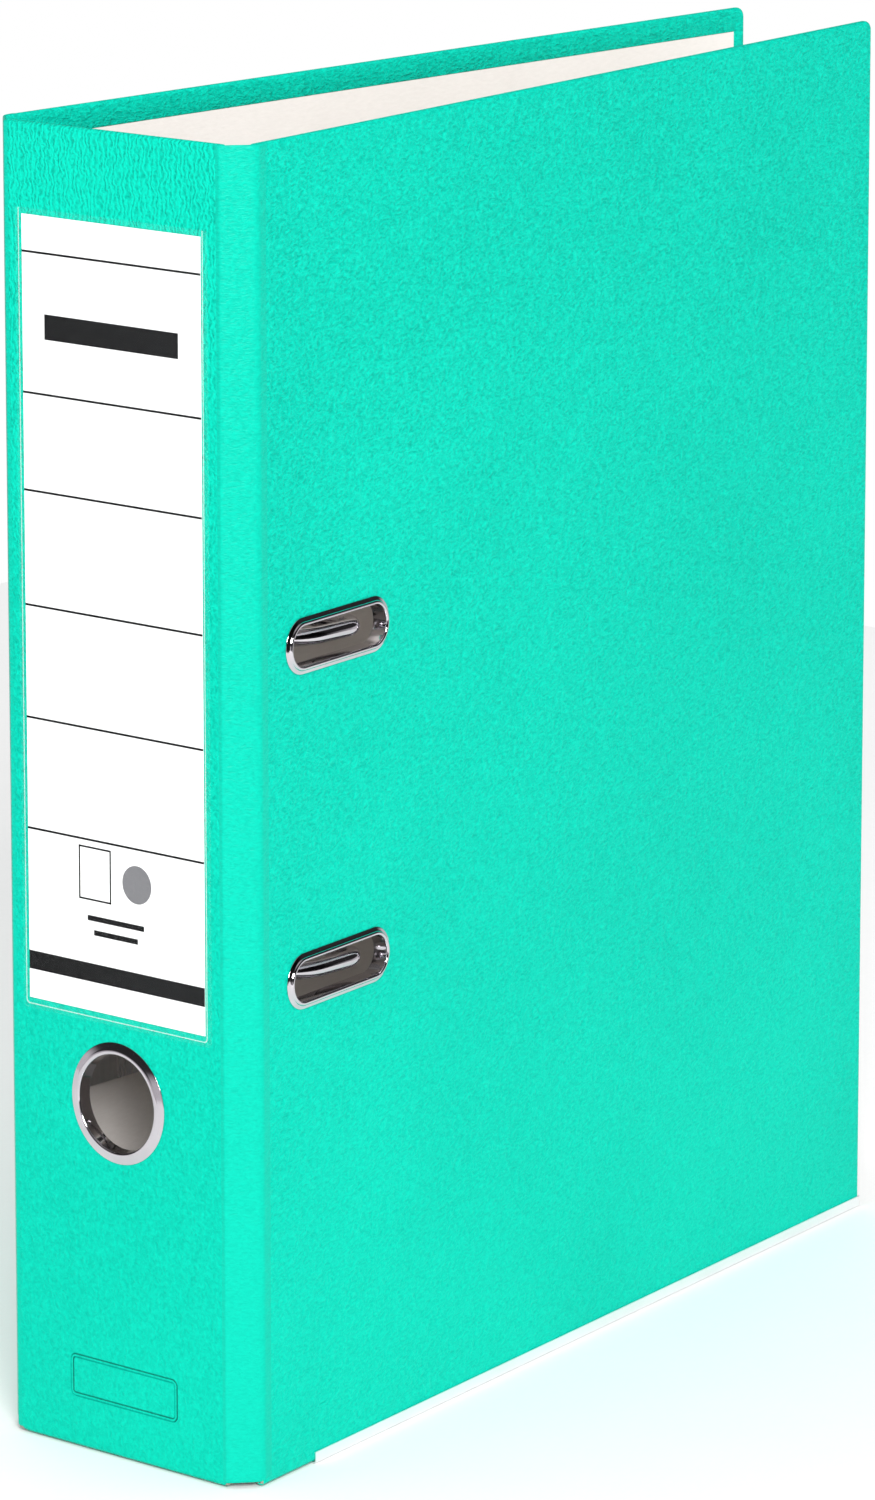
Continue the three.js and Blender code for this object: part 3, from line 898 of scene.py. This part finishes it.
class Finishes:
    """All finishes, made once."""

    def __init__(self) -> None:
        """Builds every material."""
        self.skin = EmbossedSkin().material()
        # Spine and band: the same covering sheet with grain settings of their own; their colours are toned
        # darker than the cover's as painted shade.
        self.spine_skin_painted_shade = EmbossedSkin(
            "embossed_skin_spine", valley_painted_shade=(0.001, 0.38, 0.275), crest_painted_highlight=(0.003, 0.60, 0.43),
            run=(0.8, 1.0, 0.8), relief=0.00030, crease=0.85, stamp=(1.4, 18.0, 15.5, 3.6)).material()
        self.band_skin_painted_shade = EmbossedSkin(
            "embossed_skin_band", valley_painted_shade=(0.001, 0.41, 0.296), crest_painted_highlight=(0.003, 0.535, 0.385),
            run=(0.6, 0.6, 1.6), relief=0.00014, roughness=0.36, gloss=0.06).material()
        self.lining = Paper("lining_paper").material()
        self.board = Paper("grey_board", (0.36, 0.32, 0.27), (0.26, 0.23, 0.19), 0.9, 0.00008).material()
        self.card = Paper("label_paper", (0.955, 0.955, 0.955), (0.93, 0.93, 0.93), 0.6, 0.00001).material()
        self.ink = Paper("printing_ink", (0.004, 0.004, 0.005), (0.002, 0.002, 0.002),
                         0.6, 0.00001, 0.03).material()
        self.grey_ink = Paper("grey_printing_ink", (0.20, 0.20, 0.21), (0.15, 0.15, 0.16),
                              0.5, 0.00001).material()
        self.chrome = Metal("nickel_plate", (0.64, 0.61, 0.64), (0.52, 0.50, 0.53), 0.09).material()
        self.rail = Metal("bright_channel", (0.94, 0.94, 0.95), (0.90, 0.90, 0.91), 0.32).material()
        self.steel = Metal("zinc_plate", (0.66, 0.67, 0.69), (0.50, 0.51, 0.53),
                           0.28, 0.6, 0.00002).material()
        self.grip = Plastic("black_grip", (0.022, 0.022, 0.024), (0.014, 0.014, 0.016), 0.42).material()
        self.nylon = Plastic("natural_nylon", (0.80, 0.78, 0.70), (0.70, 0.68, 0.60), 0.4).material()
        self.film = Plastic("clear_film", (0.60, 0.62, 0.62), (0.55, 0.57, 0.57),
                            0.08, 0.012, 0.000004).material()
        # Weld frame: partly the pocket's welded seam, partly a painted highlight along its edge, near-white
        # and far less clear than the film.
        self.weld = Plastic("clear_film_weld", (0.95, 0.98, 0.97), (0.90, 0.94, 0.93),
                            0.1, 0.24, 0.000004).material()


# ------------------------------------------------------------------ sub-assemblies
@dataclass
class Covers:
    """Both covers: covering, lining, edge rail, and the eyelets of the slots."""

    finish: Finishes
    edge: float = 1.1
    inner: float = 0.9
    corner: float = 2.5
    slot: tuple[float, float, float] = (-124.2, -85.3, 4.75)
    sleeve: float = 0.7
    rail_start: float = 21.0
    rail_height: float = 2.8
    rail_wall: float = 0.3
    rail_clear: float = 0.05

    def build(self) -> None:
        """Makes both covers."""
        for side in Side:
            prefix = side.name.lower()
            self.covering(side, prefix, f"{prefix}_cover")
            self.rail(side, prefix, f"{prefix}_cover")
            dress(f"{prefix}_board", self.finish.board)
            dress(f"{prefix}_lining", self.finish.lining)
        for level, name in zip(LAYOUT.ring_levels, ("lower", "upper")):
            self.eyelet(level, name)

    def covering(self, side: Side, prefix: str, body: str) -> None:
        """The covering with its turn-in; the front one has two slots.

        Args:
            side: which cover.
            prefix: start of the piece's and the node's name.
            body: the body it rides on.
        """
        y0, y1, half = self.slot
        slots = [stadium(y0, y1, z, half, self.sleeve + 0.3) for z in LAYOUT.ring_levels]
        holes = slots if side is Side.FRONT else []
        stations = panel_stations(self.edge, self.inner, LAYOUT.panel, 0.4, LAYOUT.turn_in_fore,
                                  LAYOUT.turn_in, LAYOUT.turn_in)
        surface = panel((LAYOUT.hinge_y, LAYOUT.fore_y, LAYOUT.bottom, LAYOUT.height),
                        (0.3, self.corner, self.corner, 0.3), stations, holes, LAYOUT.cover(side))
        surface.build(f"{prefix}_cover_skin", self.finish.skin, body, "covering", [f"{prefix}_covering"], 50)

    def rail(self, side: Side, prefix: str, body: str) -> None:
        """Metal channel on the bottom edge: a U profile run along the cover, its ends rolled in.

        Args:
            side: which cover.
            prefix: start of the piece's and the node's name.
            body: the body it rides on.
        """
        out, inn = self.rail_wall + self.rail_clear, self.rail_clear
        top, floor = self.rail_height, self.rail_wall
        far = LAYOUT.panel
        outside = soften([(-out, top), (-out, 0), (far + out, 0), (far + out, top)], 0.45, 5)
        inside = soften([(far + inn, top), (far + inn, floor), (-inn, floor), (-inn, top)], 0.2, 5)
        profile = np.concatenate([outside, inside])
        centre = np.array([LAYOUT.panel / 2, top / 2])
        u0, u1 = LAYOUT.hinge_y + self.rail_start, LAYOUT.fore_y - 0.3
        rolled, roll = 0.985, 0.25
        stops = [(u0, rolled), (u0 + roll, 1.0), (u1 - roll, 1.0), (u1, rolled)]
        rings = []
        for u, size in stops:
            q = centre + (profile - centre) * np.array([size, 1.0])
            rings.append(np.stack([np.full(len(q), u), np.maximum(q[:, 1], 0.0), q[:, 0]], -1))
        surface = Surface()
        index = surface.grid(LAYOUT.cover(side)(np.array(rings)), wrap_columns=True)
        for ring in (index[0], index[-1]):
            half = len(ring) // 2
            a, b = ring[:half], ring[half:][::-1]
            surface.bridge(a, b)
        surface.build(f"{prefix}_rail", self.finish.rail, body, "chrome", [f"{prefix}_edge_rail"], 35)

    def eyelet(self, level: float, name: str) -> None:
        """Pressed metal eyelet: sloping flange, raised bead, sleeve and inner flange, round the slot.

        Args:
            level: height of the slot's middle.
            name: which slot, lower or upper.
        """
        profile = soften([(2.0, -0.10), (1.98, -0.34), (1.05, -0.62), (0.92, -0.98), (0.62, -1.15),
                          (0.22, -1.12), (0.0, -0.72), (0.0, 3.05), (1.95, 3.05), (2.0, 2.70),
                          (0.7, 2.62), (0.7, -0.10)], 0.22, 3, closed=True)
        y0, y1, half = self.slot
        loops = np.array([with_depth(stadium(y0, y1, level, half, g, 14), n) for g, n in profile])
        ring_sweep(loops, LAYOUT.cover(Side.FRONT)).build(
            f"{name}_eyelet", self.finish.chrome, "front_cover", "chrome", [f"slot_eyelet_{name}"], 60)


@dataclass
class Spine:
    """The spine: covering, lining, finger ring, label in its pocket, and both hinge strips."""

    finish: Finishes
    edge: float = 1.1
    inner: float = 0.9
    ring_z: float = 87.5
    ring_hole: float = 13.15
    label_half: float = 28.0
    label_low: float = 108.8
    label_high: float = 296.5
    rules: tuple[float, ...] = (287.8, 254.5, 231.3, 203.9, 176.9, 150.1)
    footer: tuple[float, float] = (115.8, 120.3)

    def build(self) -> None:
        """Makes every piece of the spine."""
        self.covering()
        self.ring()
        self.label()
        self.pocket()
        dress("spine_lining", self.finish.lining)
        dress("spine_board", self.finish.board)
        dress("label_card", self.finish.card)
        for side in Side:
            self.hinge(side)

    def covering(self) -> None:
        """The spine's covering with the finger hole."""
        a = np.linspace(0, 2 * math.pi, 72, endpoint=False)
        hole = np.stack([self.ring_hole * np.cos(a), self.ring_z + self.ring_hole * np.sin(a)], -1)
        stations = panel_stations(self.edge, self.inner, LAYOUT.panel, 0.4, 0.4,
                                  LAYOUT.turn_in, LAYOUT.turn_in)
        half = LAYOUT.spine_half
        surface = panel((-half, half, LAYOUT.bottom, LAYOUT.height), (2.6, 1.6, 0.3, 0.3), stations,
                        [hole], LAYOUT.spine)
        surface.build("spine_skin_painted_shade", self.finish.spine_skin_painted_shade, "spine", "covering", ["spine_covering"], 50)

    def ring(self) -> None:
        """Finger ring: a profile turned about the hole's axis."""
        profile = soften([(14.75, -0.10), (14.74, -0.22), (13.25, -0.70), (13.0, -0.80), (12.55, -0.90),
                          (12.05, -0.82), (11.85, -0.45), (11.85, 3.0), (14.3, 3.0), (14.35, 2.72),
                          (12.85, 2.62), (12.85, -0.10)], 0.2, 3, closed=True)
        profile = np.concatenate([profile, profile[:1]]) + np.array([0.0, LAYOUT.spine_y])
        revolve(profile, "y", (0.0, self.ring_z), 96).build(
            "finger_ring_metal", self.finish.chrome, "spine", "chrome", ["finger_ring"], 60)

    def print_block(self, surface: Surface, x0: float, x1: float, z0: float, z1: float,
                    corner: float = 0.02) -> None:
        """A printed bar or disc: a thin closed slab on the card.

        Args:
            surface: the print it is added to.
            x0: left edge.
            x1: right edge.
            z0: lower edge.
            z1: upper edge.
            corner: corner radius; half the width makes a disc.
        """
        loop = rounded_loop(x0, x1, z0, z1, [corner] * 4, 1 if corner < 1 else 12)
        rings = np.array([with_depth(loop, -0.295), with_depth(loop, -0.325)])
        index = surface.grid(LAYOUT.spine(rings), wrap_columns=True)
        surface.fill([index[0]])
        surface.fill([index[1]])

    def label(self) -> None:
        """Plain print on the card: ruled lines, a bar, an empty box, a disc and a footer band."""
        dark, grey = Surface(), Surface()
        for z in self.rules:
            self.print_block(dark, -self.label_half, self.label_half, z - 0.27, z + 0.27)
        self.print_block(dark, -self.label_half, self.label_half, *self.footer)
        self.print_block(dark, -21.0, 21.0, 267.5, 273.5)
        left, right, low, high, line = -11.7, -1.4, 135.5, 148.5, 0.45
        for box in ((left, right, low, low + line), (left, right, high - line, high),
                    (left, left + line, low, high), (right - line, right, low, high)):
            self.print_block(dark, *box)
        self.print_block(grey, 2.2, 11.4, 136.9, 146.1, 4.59)
        for x, z in ((9.0, 130.6), (7.0, 127.2)):
            self.print_block(dark, -x, x, z, z + 1.3)
        dark.build("label_print", self.finish.ink, "spine", "card")
        grey.build("label_print_grey", self.finish.grey_ink, "spine", "card")

    def pocket(self) -> None:
        """Clear pocket: a film with thicker welded borders, open at the top."""
        x, z0, z1 = self.label_half + 2, self.label_low - 2.6, self.label_high + 1.5
        outer = rounded_loop(-x, x, z0, z1, [1.2, 1.2, 0.4, 0.4], 5)
        lip = rounded_loop(-x + 0.25, x - 0.25, z0 + 0.25, z1 - 0.1, [1.0, 1.0, 0.3, 0.3], 5)
        step = rounded_loop(-x + 1.5, x - 1.5, z0 + 1.9, z1 - 0.2, [0.6, 0.6, 0.3, 0.3], 5)
        sheet = rounded_loop(-x + 1.8, x - 1.8, z0 + 2.2, z1 - 0.3, [0.5, 0.5, 0.3, 0.3], 5)
        rings = np.array([with_depth(outer, -0.08), with_depth(outer, -0.34), with_depth(lip, -0.46),
                          with_depth(step, -0.46), with_depth(sheet, -0.53)])
        surface = Surface()
        front = surface.grid(LAYOUT.spine(rings), wrap_columns=True)
        back = surface.grid(LAYOUT.spine(np.array([with_depth(outer, -0.08), with_depth(step, -0.08),
                                                   with_depth(sheet, -0.36)])), wrap_columns=True)
        surface.fill([front[-1]])
        surface.fill([back[-1]])
        surface.build("label_pocket_film", self.finish.film, "spine", "clear", ["label_pocket"], 50)
        # Painted highlight: a brighter, less clear frame along the welded seam stands for the light caught on
        # the pocket's edge.
        weld = Surface()
        frames = [rounded_loop(-x + g, x - g, z0 + g, z1 - 0.05, [1.0, 1.0, 0.2, 0.2], 5)
                  for g in (1.05, 1.30)]
        loops = [with_depth(frames[i], d) for i, d in ((0, -0.47), (0, -0.52), (1, -0.52), (1, -0.47))]
        weld.grid(LAYOUT.spine(np.array(loops)), wrap_rows=True, wrap_columns=True)
        weld.build("label_pocket_weld", self.finish.weld, "spine", "clear")

    def hinge(self, side: Side) -> None:
        """One hinge strip: covering outside and lining inside, bent across the joint.

        The strip's outline across the hinge is a softened polyline, and it runs straight up.

        Args:
            side: the cover it joins to the spine.
        """
        name = side.name.lower()
        bodies = ("spine", "front_cover") if side is Side.FRONT else ("back_cover", "spine")
        h, y = LAYOUT.spine_half, LAYOUT.spine_y

        def across(spine_points: Points, cover_points: Points) -> Points:
            """Joins points on the spine to points on the leaning or mirrored cover.

            Args:
                spine_points: x, y of the points on the spine.
                cover_points: x, y of the points on a square-built front cover.

            Returns:
                The whole line, n x 2.
            """
            on_cover = np.asarray(cover_points, float)
            if side is Side.FRONT:
                on_cover = LAYOUT.swing(on_cover)
            line = np.concatenate([np.asarray(spine_points, float), on_cover])
            return line if side is Side.FRONT else line * np.array([-1.0, 1.0])

        half, hy, deep = LAYOUT.half, LAYOUT.hinge_y, LAYOUT.panel
        lift = 0.02
        outer = soften(across(
            [(h - 1.5, y + 0.01), (h - 0.8, y - lift), (h, y - lift), (h + 2.9, y + 3.25)],
            [(half + lift, hy), (half + lift, hy + 2.2), (half - 0.01, hy + 3.6)]), 1.25, 7)
        inner = soften(across(
            [(h - 1.5, y + 0.25), (h - 0.9, y + 0.3), (h - 0.1, y + 0.5), (h + 1.2, y + 1.9)],
            [(half - 1.5, hy - 0.9), (half - 0.45, hy + 0.4), (half - 0.25, hy + 3.6)]), 0.8, 7)
        self.strip(f"{name}_hinge_skin", outer, inner, LAYOUT.bottom + 0.9, LAYOUT.height - 0.1,
                   self.finish.band_skin_painted_shade, "covering", bodies, side, [f"{name}_hinge_strip"])
        near, under = y + deep + 0.03, y + deep - 0.2
        face = soften(across(
            [(h - 2.4, near), (h - 1.0, near), (h + 0.3, near), (h + 1.0, y + 2.1)],
            [(half - 2.1, hy - 1.0), (half - deep - 0.03, hy - 0.3), (half - deep - 0.03, hy + 2.4)]),
            0.7, 7)
        back = soften(across(
            [(h - 2.4, under), (h - 1.0, under), (h + 0.1, under), (h + 1.1, y + 1.85)],
            [(half - 1.85, hy - 1.1), (half - deep + 0.2, hy - 0.1), (half - deep + 0.2, hy + 2.4)]),
            0.7, 7)
        low, high = LAYOUT.bottom + LAYOUT.turn_in, LAYOUT.height - LAYOUT.turn_in
        self.strip(f"{name}_hinge_lining", face, back, low, high, self.finish.lining, "lining",
                   bodies, side, [])
        for end, z0, z1 in (("foot", LAYOUT.bottom + 0.95, low + 0.7),
                            ("head", high - 0.7, LAYOUT.height - 0.15)):
            self.strip(f"{name}_hinge_turn_in_{end}", face, inner, z0, z1, self.finish.band_skin_painted_shade,
                       "covering", bodies, side, [])
        log.info("%s hinge joins %s to %s", name, *bodies)

    def strip(self, name: str, face: Points, back: Points, z0: float, z1: float,
              material: bpy.types.Material, slot: str, bodies: tuple[str, str], side: Side,
              replaces: Sequence[str]) -> None:
        """Runs the band between two lines straight up and closes it.

        Near each end the outer line is pulled towards the inner one by a quarter circle.

        Args:
            name: the piece's name.
            face: the outer line, n x 2.
            back: the inner line, n x 2.
            z0: foot of the band.
            z1: head of the band.
            material: its finish.
            slot: the record's material slot.
            bodies: parent and child of the hinge.
            side: the cover it joins.
            replaces: the nodes it stands for.
        """
        near = 0.8 * np.array([0.0, 0.1, 0.3, 0.6, 1.0])
        levels = np.concatenate([z0 + near, np.linspace(z0 + 1.5, z1 - 1.5, 9), z1 - near[::-1]])
        inset = np.minimum(np.minimum(levels - z0, z1 - levels) / 0.8, 1.0)
        pull = 0.75 * (1 - np.sqrt(1 - (1 - inset) ** 2))
        rings = np.array([with_depth(np.concatenate([face + (back - face) * k, back[::-1]]), z)
                          for z, k in zip(levels, pull)])
        surface = Surface()
        index = surface.grid(LAYOUT.place(rings), wrap_columns=True)
        k = len(face)
        for row in (index[0], index[-1]):
            a, b = row[:k], row[k:][::-1]
            surface.bridge(a, b)
        obj = surface.build(name, material, "", slot, replaces, 60)
        ax, ay = LAYOUT.axis
        reach = 2.6
        spine_end = np.array([side.value * (ax - reach), ay - reach, LAYOUT.ring_z])
        cover_end = np.array([side.value * (ax + reach), ay + reach, LAYOUT.ring_z])
        cover = bodies[1] if side is Side.FRONT else bodies[0]
        ends = {"spine": LAYOUT.place(spine_end), cover: LAYOUT.place(cover_end)}
        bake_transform(obj)


@dataclass
class Mechanism:
    """The lever mechanism on the back cover: plate, posts, arches, lever, roller, spring and bar."""

    finish: Finishes
    base_top: float = -36.5
    post_y: float = -92.0
    post_radius: float = 2.4
    post_top: float = 19.0
    wire: float = 2.1
    arch_axis: tuple[float, float] = (-33.0, -108.0)
    leg_y: float = -119.0
    foot_x: float = -29.0
    crown_x: float = 32.3
    crank: tuple[float, float, float] = (-33.9, -98.5, 6.2)
    pivot: tuple[float, float] = (-23.0, -92.0)
    roller_at: tuple[float, float] = (-28.0, -98.0)

    def build(self) -> None:
        """Makes every piece of the mechanism."""
        self.arch()
        self.posts()
        self.rivets()
        self.pins()
        self.roller()
        self.spring()
        self.grip()
        for node in ("base_plate", "lever_arm", "compressor_bar"):
            dress(node, self.finish.steel)

    def arch(self) -> None:
        """Both arches and the cross bar, one bent wire with coned tips."""
        tip = self.post_top + 0.4

        def half(s: int) -> list[list[float]]:
            """Corners of one arch, from its tip to the crank.

            Args:
                s: 1 for the upper arch, -1 for the lower one.

            Returns:
                x, y, z and bend radius of each corner.
            """
            z = LAYOUT.ring_z + s * LAYOUT.post_spacing / 2
            cx, cy, ch = self.crank
            return [[tip, self.post_y, z, 0], [self.crown_x, self.post_y, z, 6],
                    [self.crown_x, self.leg_y, z, 12], [self.foot_x, self.leg_y, z, 5],
                    [*self.arch_axis, z, 5], [*self.arch_axis, LAYOUT.ring_z + s * ch, 3.2],
                    [cx, cy, LAYOUT.ring_z + s * ch, 3.2]]

        points, tangents = bent_path(half(1) + half(-1)[::-1], 12)
        end = np.array([[-0.5, 0.0, 0.0]])
        points = np.concatenate([points[:1] + end, points, points[-1:] + end])
        tangents = np.concatenate([tangents[:1], tangents, tangents[-1:]])
        radii = np.full(len(points), self.wire)
        radii[[0, -1]] = 0.25
        tube(points, tangents, radii, 32).build("arch_wire_round", self.finish.chrome, "arch", "chrome",
                                                ["arch_wire"], 35)

    def posts(self) -> None:
        """Fixed posts with a riveted foot, each with a cupped top."""
        b, r, t = self.base_top + 0.1, self.post_radius, self.post_top
        body = soften([(0.0, b), (4.0, b), (4.0, b + 1.2), (r, b + 1.25), (r, t), (r - 0.6, t),
                       (0.0, t - 0.5)], 0.3, 3)
        for z, name in zip(LAYOUT.ring_levels, ("lower", "upper")):
            revolve(body, "x", (self.post_y, z), 40).build(
                f"post_{name}_round", self.finish.chrome, "back_cover", "chrome", [f"post_{name}"], 35)

    def rivets(self) -> None:
        """Rivets of the base plate: domed heads outside and inside."""
        head, skin = -LAYOUT.half - LAYOUT.rivet_rise, -LAYOUT.half - 0.02
        seat = self.base_top + 0.1
        shape = soften([(0.0, head), (3.1, head + 0.06), (4.2, skin), (1.6, skin + 0.01), (1.6, seat),
                        (3.2, seat), (3.0, seat + 0.5), (1.9, seat + 0.9), (0.0, seat + 1.0)], 0.5, 3)
        spots = [(-120.0, 86.0), (-120.0, 232.0), (-76.0, 86.0), (-76.0, 232.0)]
        for i, (y, z) in enumerate(spots, 1):
            revolve(shape, "x", (y, z), 32).build(
                f"rivet_{i}", self.finish.chrome, "back_cover", "chrome", [f"base_rivet_{i}"], 40)

    def pins(self) -> None:
        """Pivot pin of the lever, and the roller's pin."""
        mid = LAYOUT.ring_z
        for name, node, body, at, r, head, near, far in (
                ("pivot_pin", "lever_pin", "back_cover", self.pivot, 1.6, 2.7, 11.2, 12.1),
                ("roller_axle", "roller_pin", "lever", self.roller_at, 1.2, 1.9, 8.8, 9.6)):
            shape = soften([(0.0, mid - far), (head, mid - far), (head, mid - near),
                            (r, mid - near + 0.01), (r, mid + near - 0.01), (head, mid + near),
                            (head, mid + far), (0.0, mid + far)], 0.25, 3)
            revolve(shape, "z", at, 32).build(name, self.finish.steel, body, "steel", [node], 35)

    def roller(self) -> None:
        """Plastic roller with softened rims."""
        mid = LAYOUT.ring_z
        shape = soften([(1.5, mid - 7), (3.5, mid - 7), (3.5, mid + 7), (1.5, mid + 7)], 0.45, 4, closed=True)
        revolve(np.concatenate([shape, shape[:1]]), "z", self.roller_at, 48).build(
            "roller_tyre", self.finish.nylon, "roller", "roller_plastic", ["roller"], 40)

    def spring(self) -> None:
        """Torsion spring: a helix round the cross bar with two straight arms."""
        coil, turns, start = 2.95, 3.2, LAYOUT.ring_z + 24.5
        ax, ay = self.arch_axis
        t = np.linspace(0, 1, 120)
        phi = math.pi + turns * 2 * math.pi * t
        helix = np.stack([ax + coil * np.cos(phi), ay + coil * np.sin(phi), start + 3.6 * t], -1)
        top = LAYOUT.ring_z + LAYOUT.post_spacing / 2
        last = helix[-1, 2]
        points = np.concatenate([[[ax - coil, ay + 9, start]], helix,
                                 [[-19.0, self.leg_y + 3.1, last + 1], [-17.5, self.leg_y + 3.1, last + 2.2],
                                  [-17.5, self.leg_y + 3.1, top + 3]]])
        tangents = np.gradient(points, axis=0)
        tangents /= np.linalg.norm(tangents, axis=1, keepdims=True)
        tube(points, tangents, np.full(len(points), 0.42), 12).build(
            "spring_wire", self.finish.steel, "back_cover", "steel", ["arch_spring"], 50)

    def grip(self) -> None:
        """Moulded grip: rounded block rings along the lever, waisted for the fingertip."""
        mid = LAYOUT.ring_z
        along = np.array([-135.0, -134.7, -133.6, -130.0, -126.0, -122.0, -118.0, -113.2, -112.2, -112.0])
        shrink = np.array([1.6, 0.8, 0.2, 0.0, 0.0, 0.0, 0.0, 0.0, 0.25, 0.7])
        dip = 1.0 * np.exp(-((along + 124.0) / 4.5) ** 2)
        rings = []
        for y, s, d in zip(along, shrink, dip):
            loop = rounded_loop(-23.4 + s, -15.4 - s - d, mid - 11.5 + s, mid + 11.5 - s, [1.6] * 4, 6)
            rings.append(np.stack([loop[:, 0], np.full(len(loop), y), loop[:, 1]], -1))
        surface = Surface()
        index = surface.grid(LAYOUT.place(np.array(rings)), wrap_columns=True)
        surface.fill([index[0]])
        surface.fill([index[-1]])
        surface.build("lever_grip_moulded", self.finish.grip, "lever", "grip", ["lever_grip"], 40)


def dress(node: str, material: bpy.types.Material) -> None:
    """Gives a node of the frame a finish of its own, and leaves its mesh alone.

    Args:
        node: the node's name.
        material: its finish.
    """
    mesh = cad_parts[node].data
    mesh.materials.clear()
    mesh.materials.append(material)


# ------------------------------------------------------------------ studio
@dataclass
class Studio:
    """Camera, light, world and floor.

    `tent` is what reflections see: position from straight down to straight up, and brightness.
    """

    eye: tuple[float, float, float] = (1102.3, -1323.9, 539.1)
    azimuth: float = 40.33
    elevation: float = 10.97
    lens: float = 170.33
    shift_y: float = -0.15
    ambient: float = 0.77
    floor_half: float = 0.75
    floor_drop: float = 0.0002
    tent: tuple[tuple[float, float], ...] = (
        (0.0, 0.6), (0.40, 0.74), (0.51, 0.74), (0.56, 0.03), (0.88, 0.02), (1.0, 0.6))

    def build(self) -> None:
        """Sets up the whole studio."""
        self.camera()
        self.world()
        self.floor()
        self.light("key", (1.9, -1.9, 1.45), 0.9, 88.0)
        view = bpy.context.scene.view_settings
        view.view_transform = "Standard"
        view.look = "None"

    def camera(self) -> None:
        """Camera at the viewing angle, upright, with the frame raised by its shift."""
        data = bpy.data.cameras.new("camera")
        cam = bpy.data.objects.new("camera", data)
        bpy.context.scene.collection.objects.link(cam)
        a, e = math.radians(self.azimuth), math.radians(self.elevation)
        back = Vector((math.sin(a) * math.cos(e), -math.cos(a) * math.cos(e), math.sin(e)))
        cam.rotation_mode = "QUATERNION"
        cam.rotation_quaternion = (-back).to_track_quat("-Z", "Y")
        cam.location = Vector(self.eye) * MM
        data.lens, data.sensor_width, data.shift_y = self.lens, 36.0, self.shift_y
        data.clip_start, data.clip_end = 0.05, 50.0
        bpy.context.scene.camera = cam

    def world(self) -> None:
        """White surroundings; reflections see them dark above the horizon and on the right flank.

        The darkness lets polished metal read. The camera sees plain white.
        """
        world = bpy.data.worlds.new("studio")
        bpy.context.scene.world = world
        world.use_nodes = True
        tree = world.node_tree
        tree.nodes.clear()
        out = tree.nodes.new("ShaderNodeOutputWorld")
        shown, soft, tent, first, second = (tree.nodes.new(k) for k in (
            *["ShaderNodeBackground"] * 3, *["ShaderNodeMixShader"] * 2))
        for node, strength in ((shown, 1.0), (soft, self.ambient), (tent, 1.0)):
            node.inputs["Color"].default_value = (1, 1, 1, 1)
            node.inputs["Strength"].default_value = strength
        path = tree.nodes.new("ShaderNodeLightPath")
        coord = tree.nodes.new("ShaderNodeTexCoord")
        split = tree.nodes.new("ShaderNodeSeparateXYZ")
        rise = tree.nodes.new("ShaderNodeMapRange")
        rise.inputs["From Min"].default_value = -1.0
        ramp = tree.nodes.new("ShaderNodeValToRGB")
        tree.links.new(coord.outputs["Generated"], split.inputs[0])
        tree.links.new(split.outputs["Z"], rise.inputs["Value"])
        tree.links.new(rise.outputs[0], ramp.inputs["Fac"])
        elements = ramp.color_ramp.elements
        for i, (position, value) in enumerate(self.tent):
            inner = 0 < i < len(self.tent) - 1
            element = elements.new(position) if inner else elements[0 if i == 0 else -1]
            element.position, element.color = position, (value, value * 0.96, value, 1)
        flank = tree.nodes.new("ShaderNodeMapRange")
        for key, value in (("From Min", 0.58), ("From Max", 0.72), ("To Min", 1.0), ("To Max", 0.02)):
            flank.inputs[key].default_value = value
        tree.links.new(split.outputs["X"], flank.inputs["Value"])
        tree.links.new(flank.outputs[0], tent.inputs["Strength"])
        tree.links.new(ramp.outputs["Color"], tent.inputs["Color"])
        tree.links.new(path.outputs["Is Glossy Ray"], first.inputs["Fac"])
        tree.links.new(soft.outputs[0], first.inputs[1])
        tree.links.new(tent.outputs[0], first.inputs[2])
        tree.links.new(path.outputs["Is Camera Ray"], second.inputs["Fac"])
        tree.links.new(first.outputs[0], second.inputs[1])
        tree.links.new(shown.outputs[0], second.inputs[2])
        tree.links.new(second.outputs[0], out.inputs["Surface"])

    def floor(self) -> None:
        """Plain pale floor under the file."""
        mesh = bpy.data.meshes.new("floor")
        s, z = self.floor_half, -self.floor_drop
        mesh.from_pydata([(-s, -s, z), (s, -s, z), (s, s, z), (-s, s, z)], [], [(0, 1, 2, 3)])
        mesh.materials.append(Paper("pale_floor", (0.96, 0.96, 0.96), (0.94, 0.94, 0.94), 0.9).material())
        obj = bpy.data.objects.new("floor", mesh)
        bpy.context.scene.collection.objects.link(obj)

    def light(self, name: str, at: Sequence[float], size: float, power: float) -> None:
        """A soft square light aimed at the middle of the file.

        Args:
            name: the light's name.
            at: its place, in metres.
            size: its edge, in metres.
            power: its power, in watts.
        """
        data = bpy.data.lights.new(name, "AREA")
        data.size, data.energy = size, power
        obj = bpy.data.objects.new(name, data)
        bpy.context.scene.collection.objects.link(obj)
        obj.location = at
        aim = Vector((0, 0, 0.16)) - Vector(at)
        obj.rotation_mode = "QUATERNION"
        obj.rotation_quaternion = aim.to_track_quat("-Z", "Y")


def main() -> None:
    """Builds the looks in order."""
    logging.basicConfig(level=logging.INFO, format="%(name)s %(message)s")
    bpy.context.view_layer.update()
    finish = Finishes()
    for assembly in (Covers(finish), Spine(finish), Mechanism(finish), Studio()):
        assembly.build()
        log.info("%s done", type(assembly).__name__)


if __name__ == "__main__":
    main()
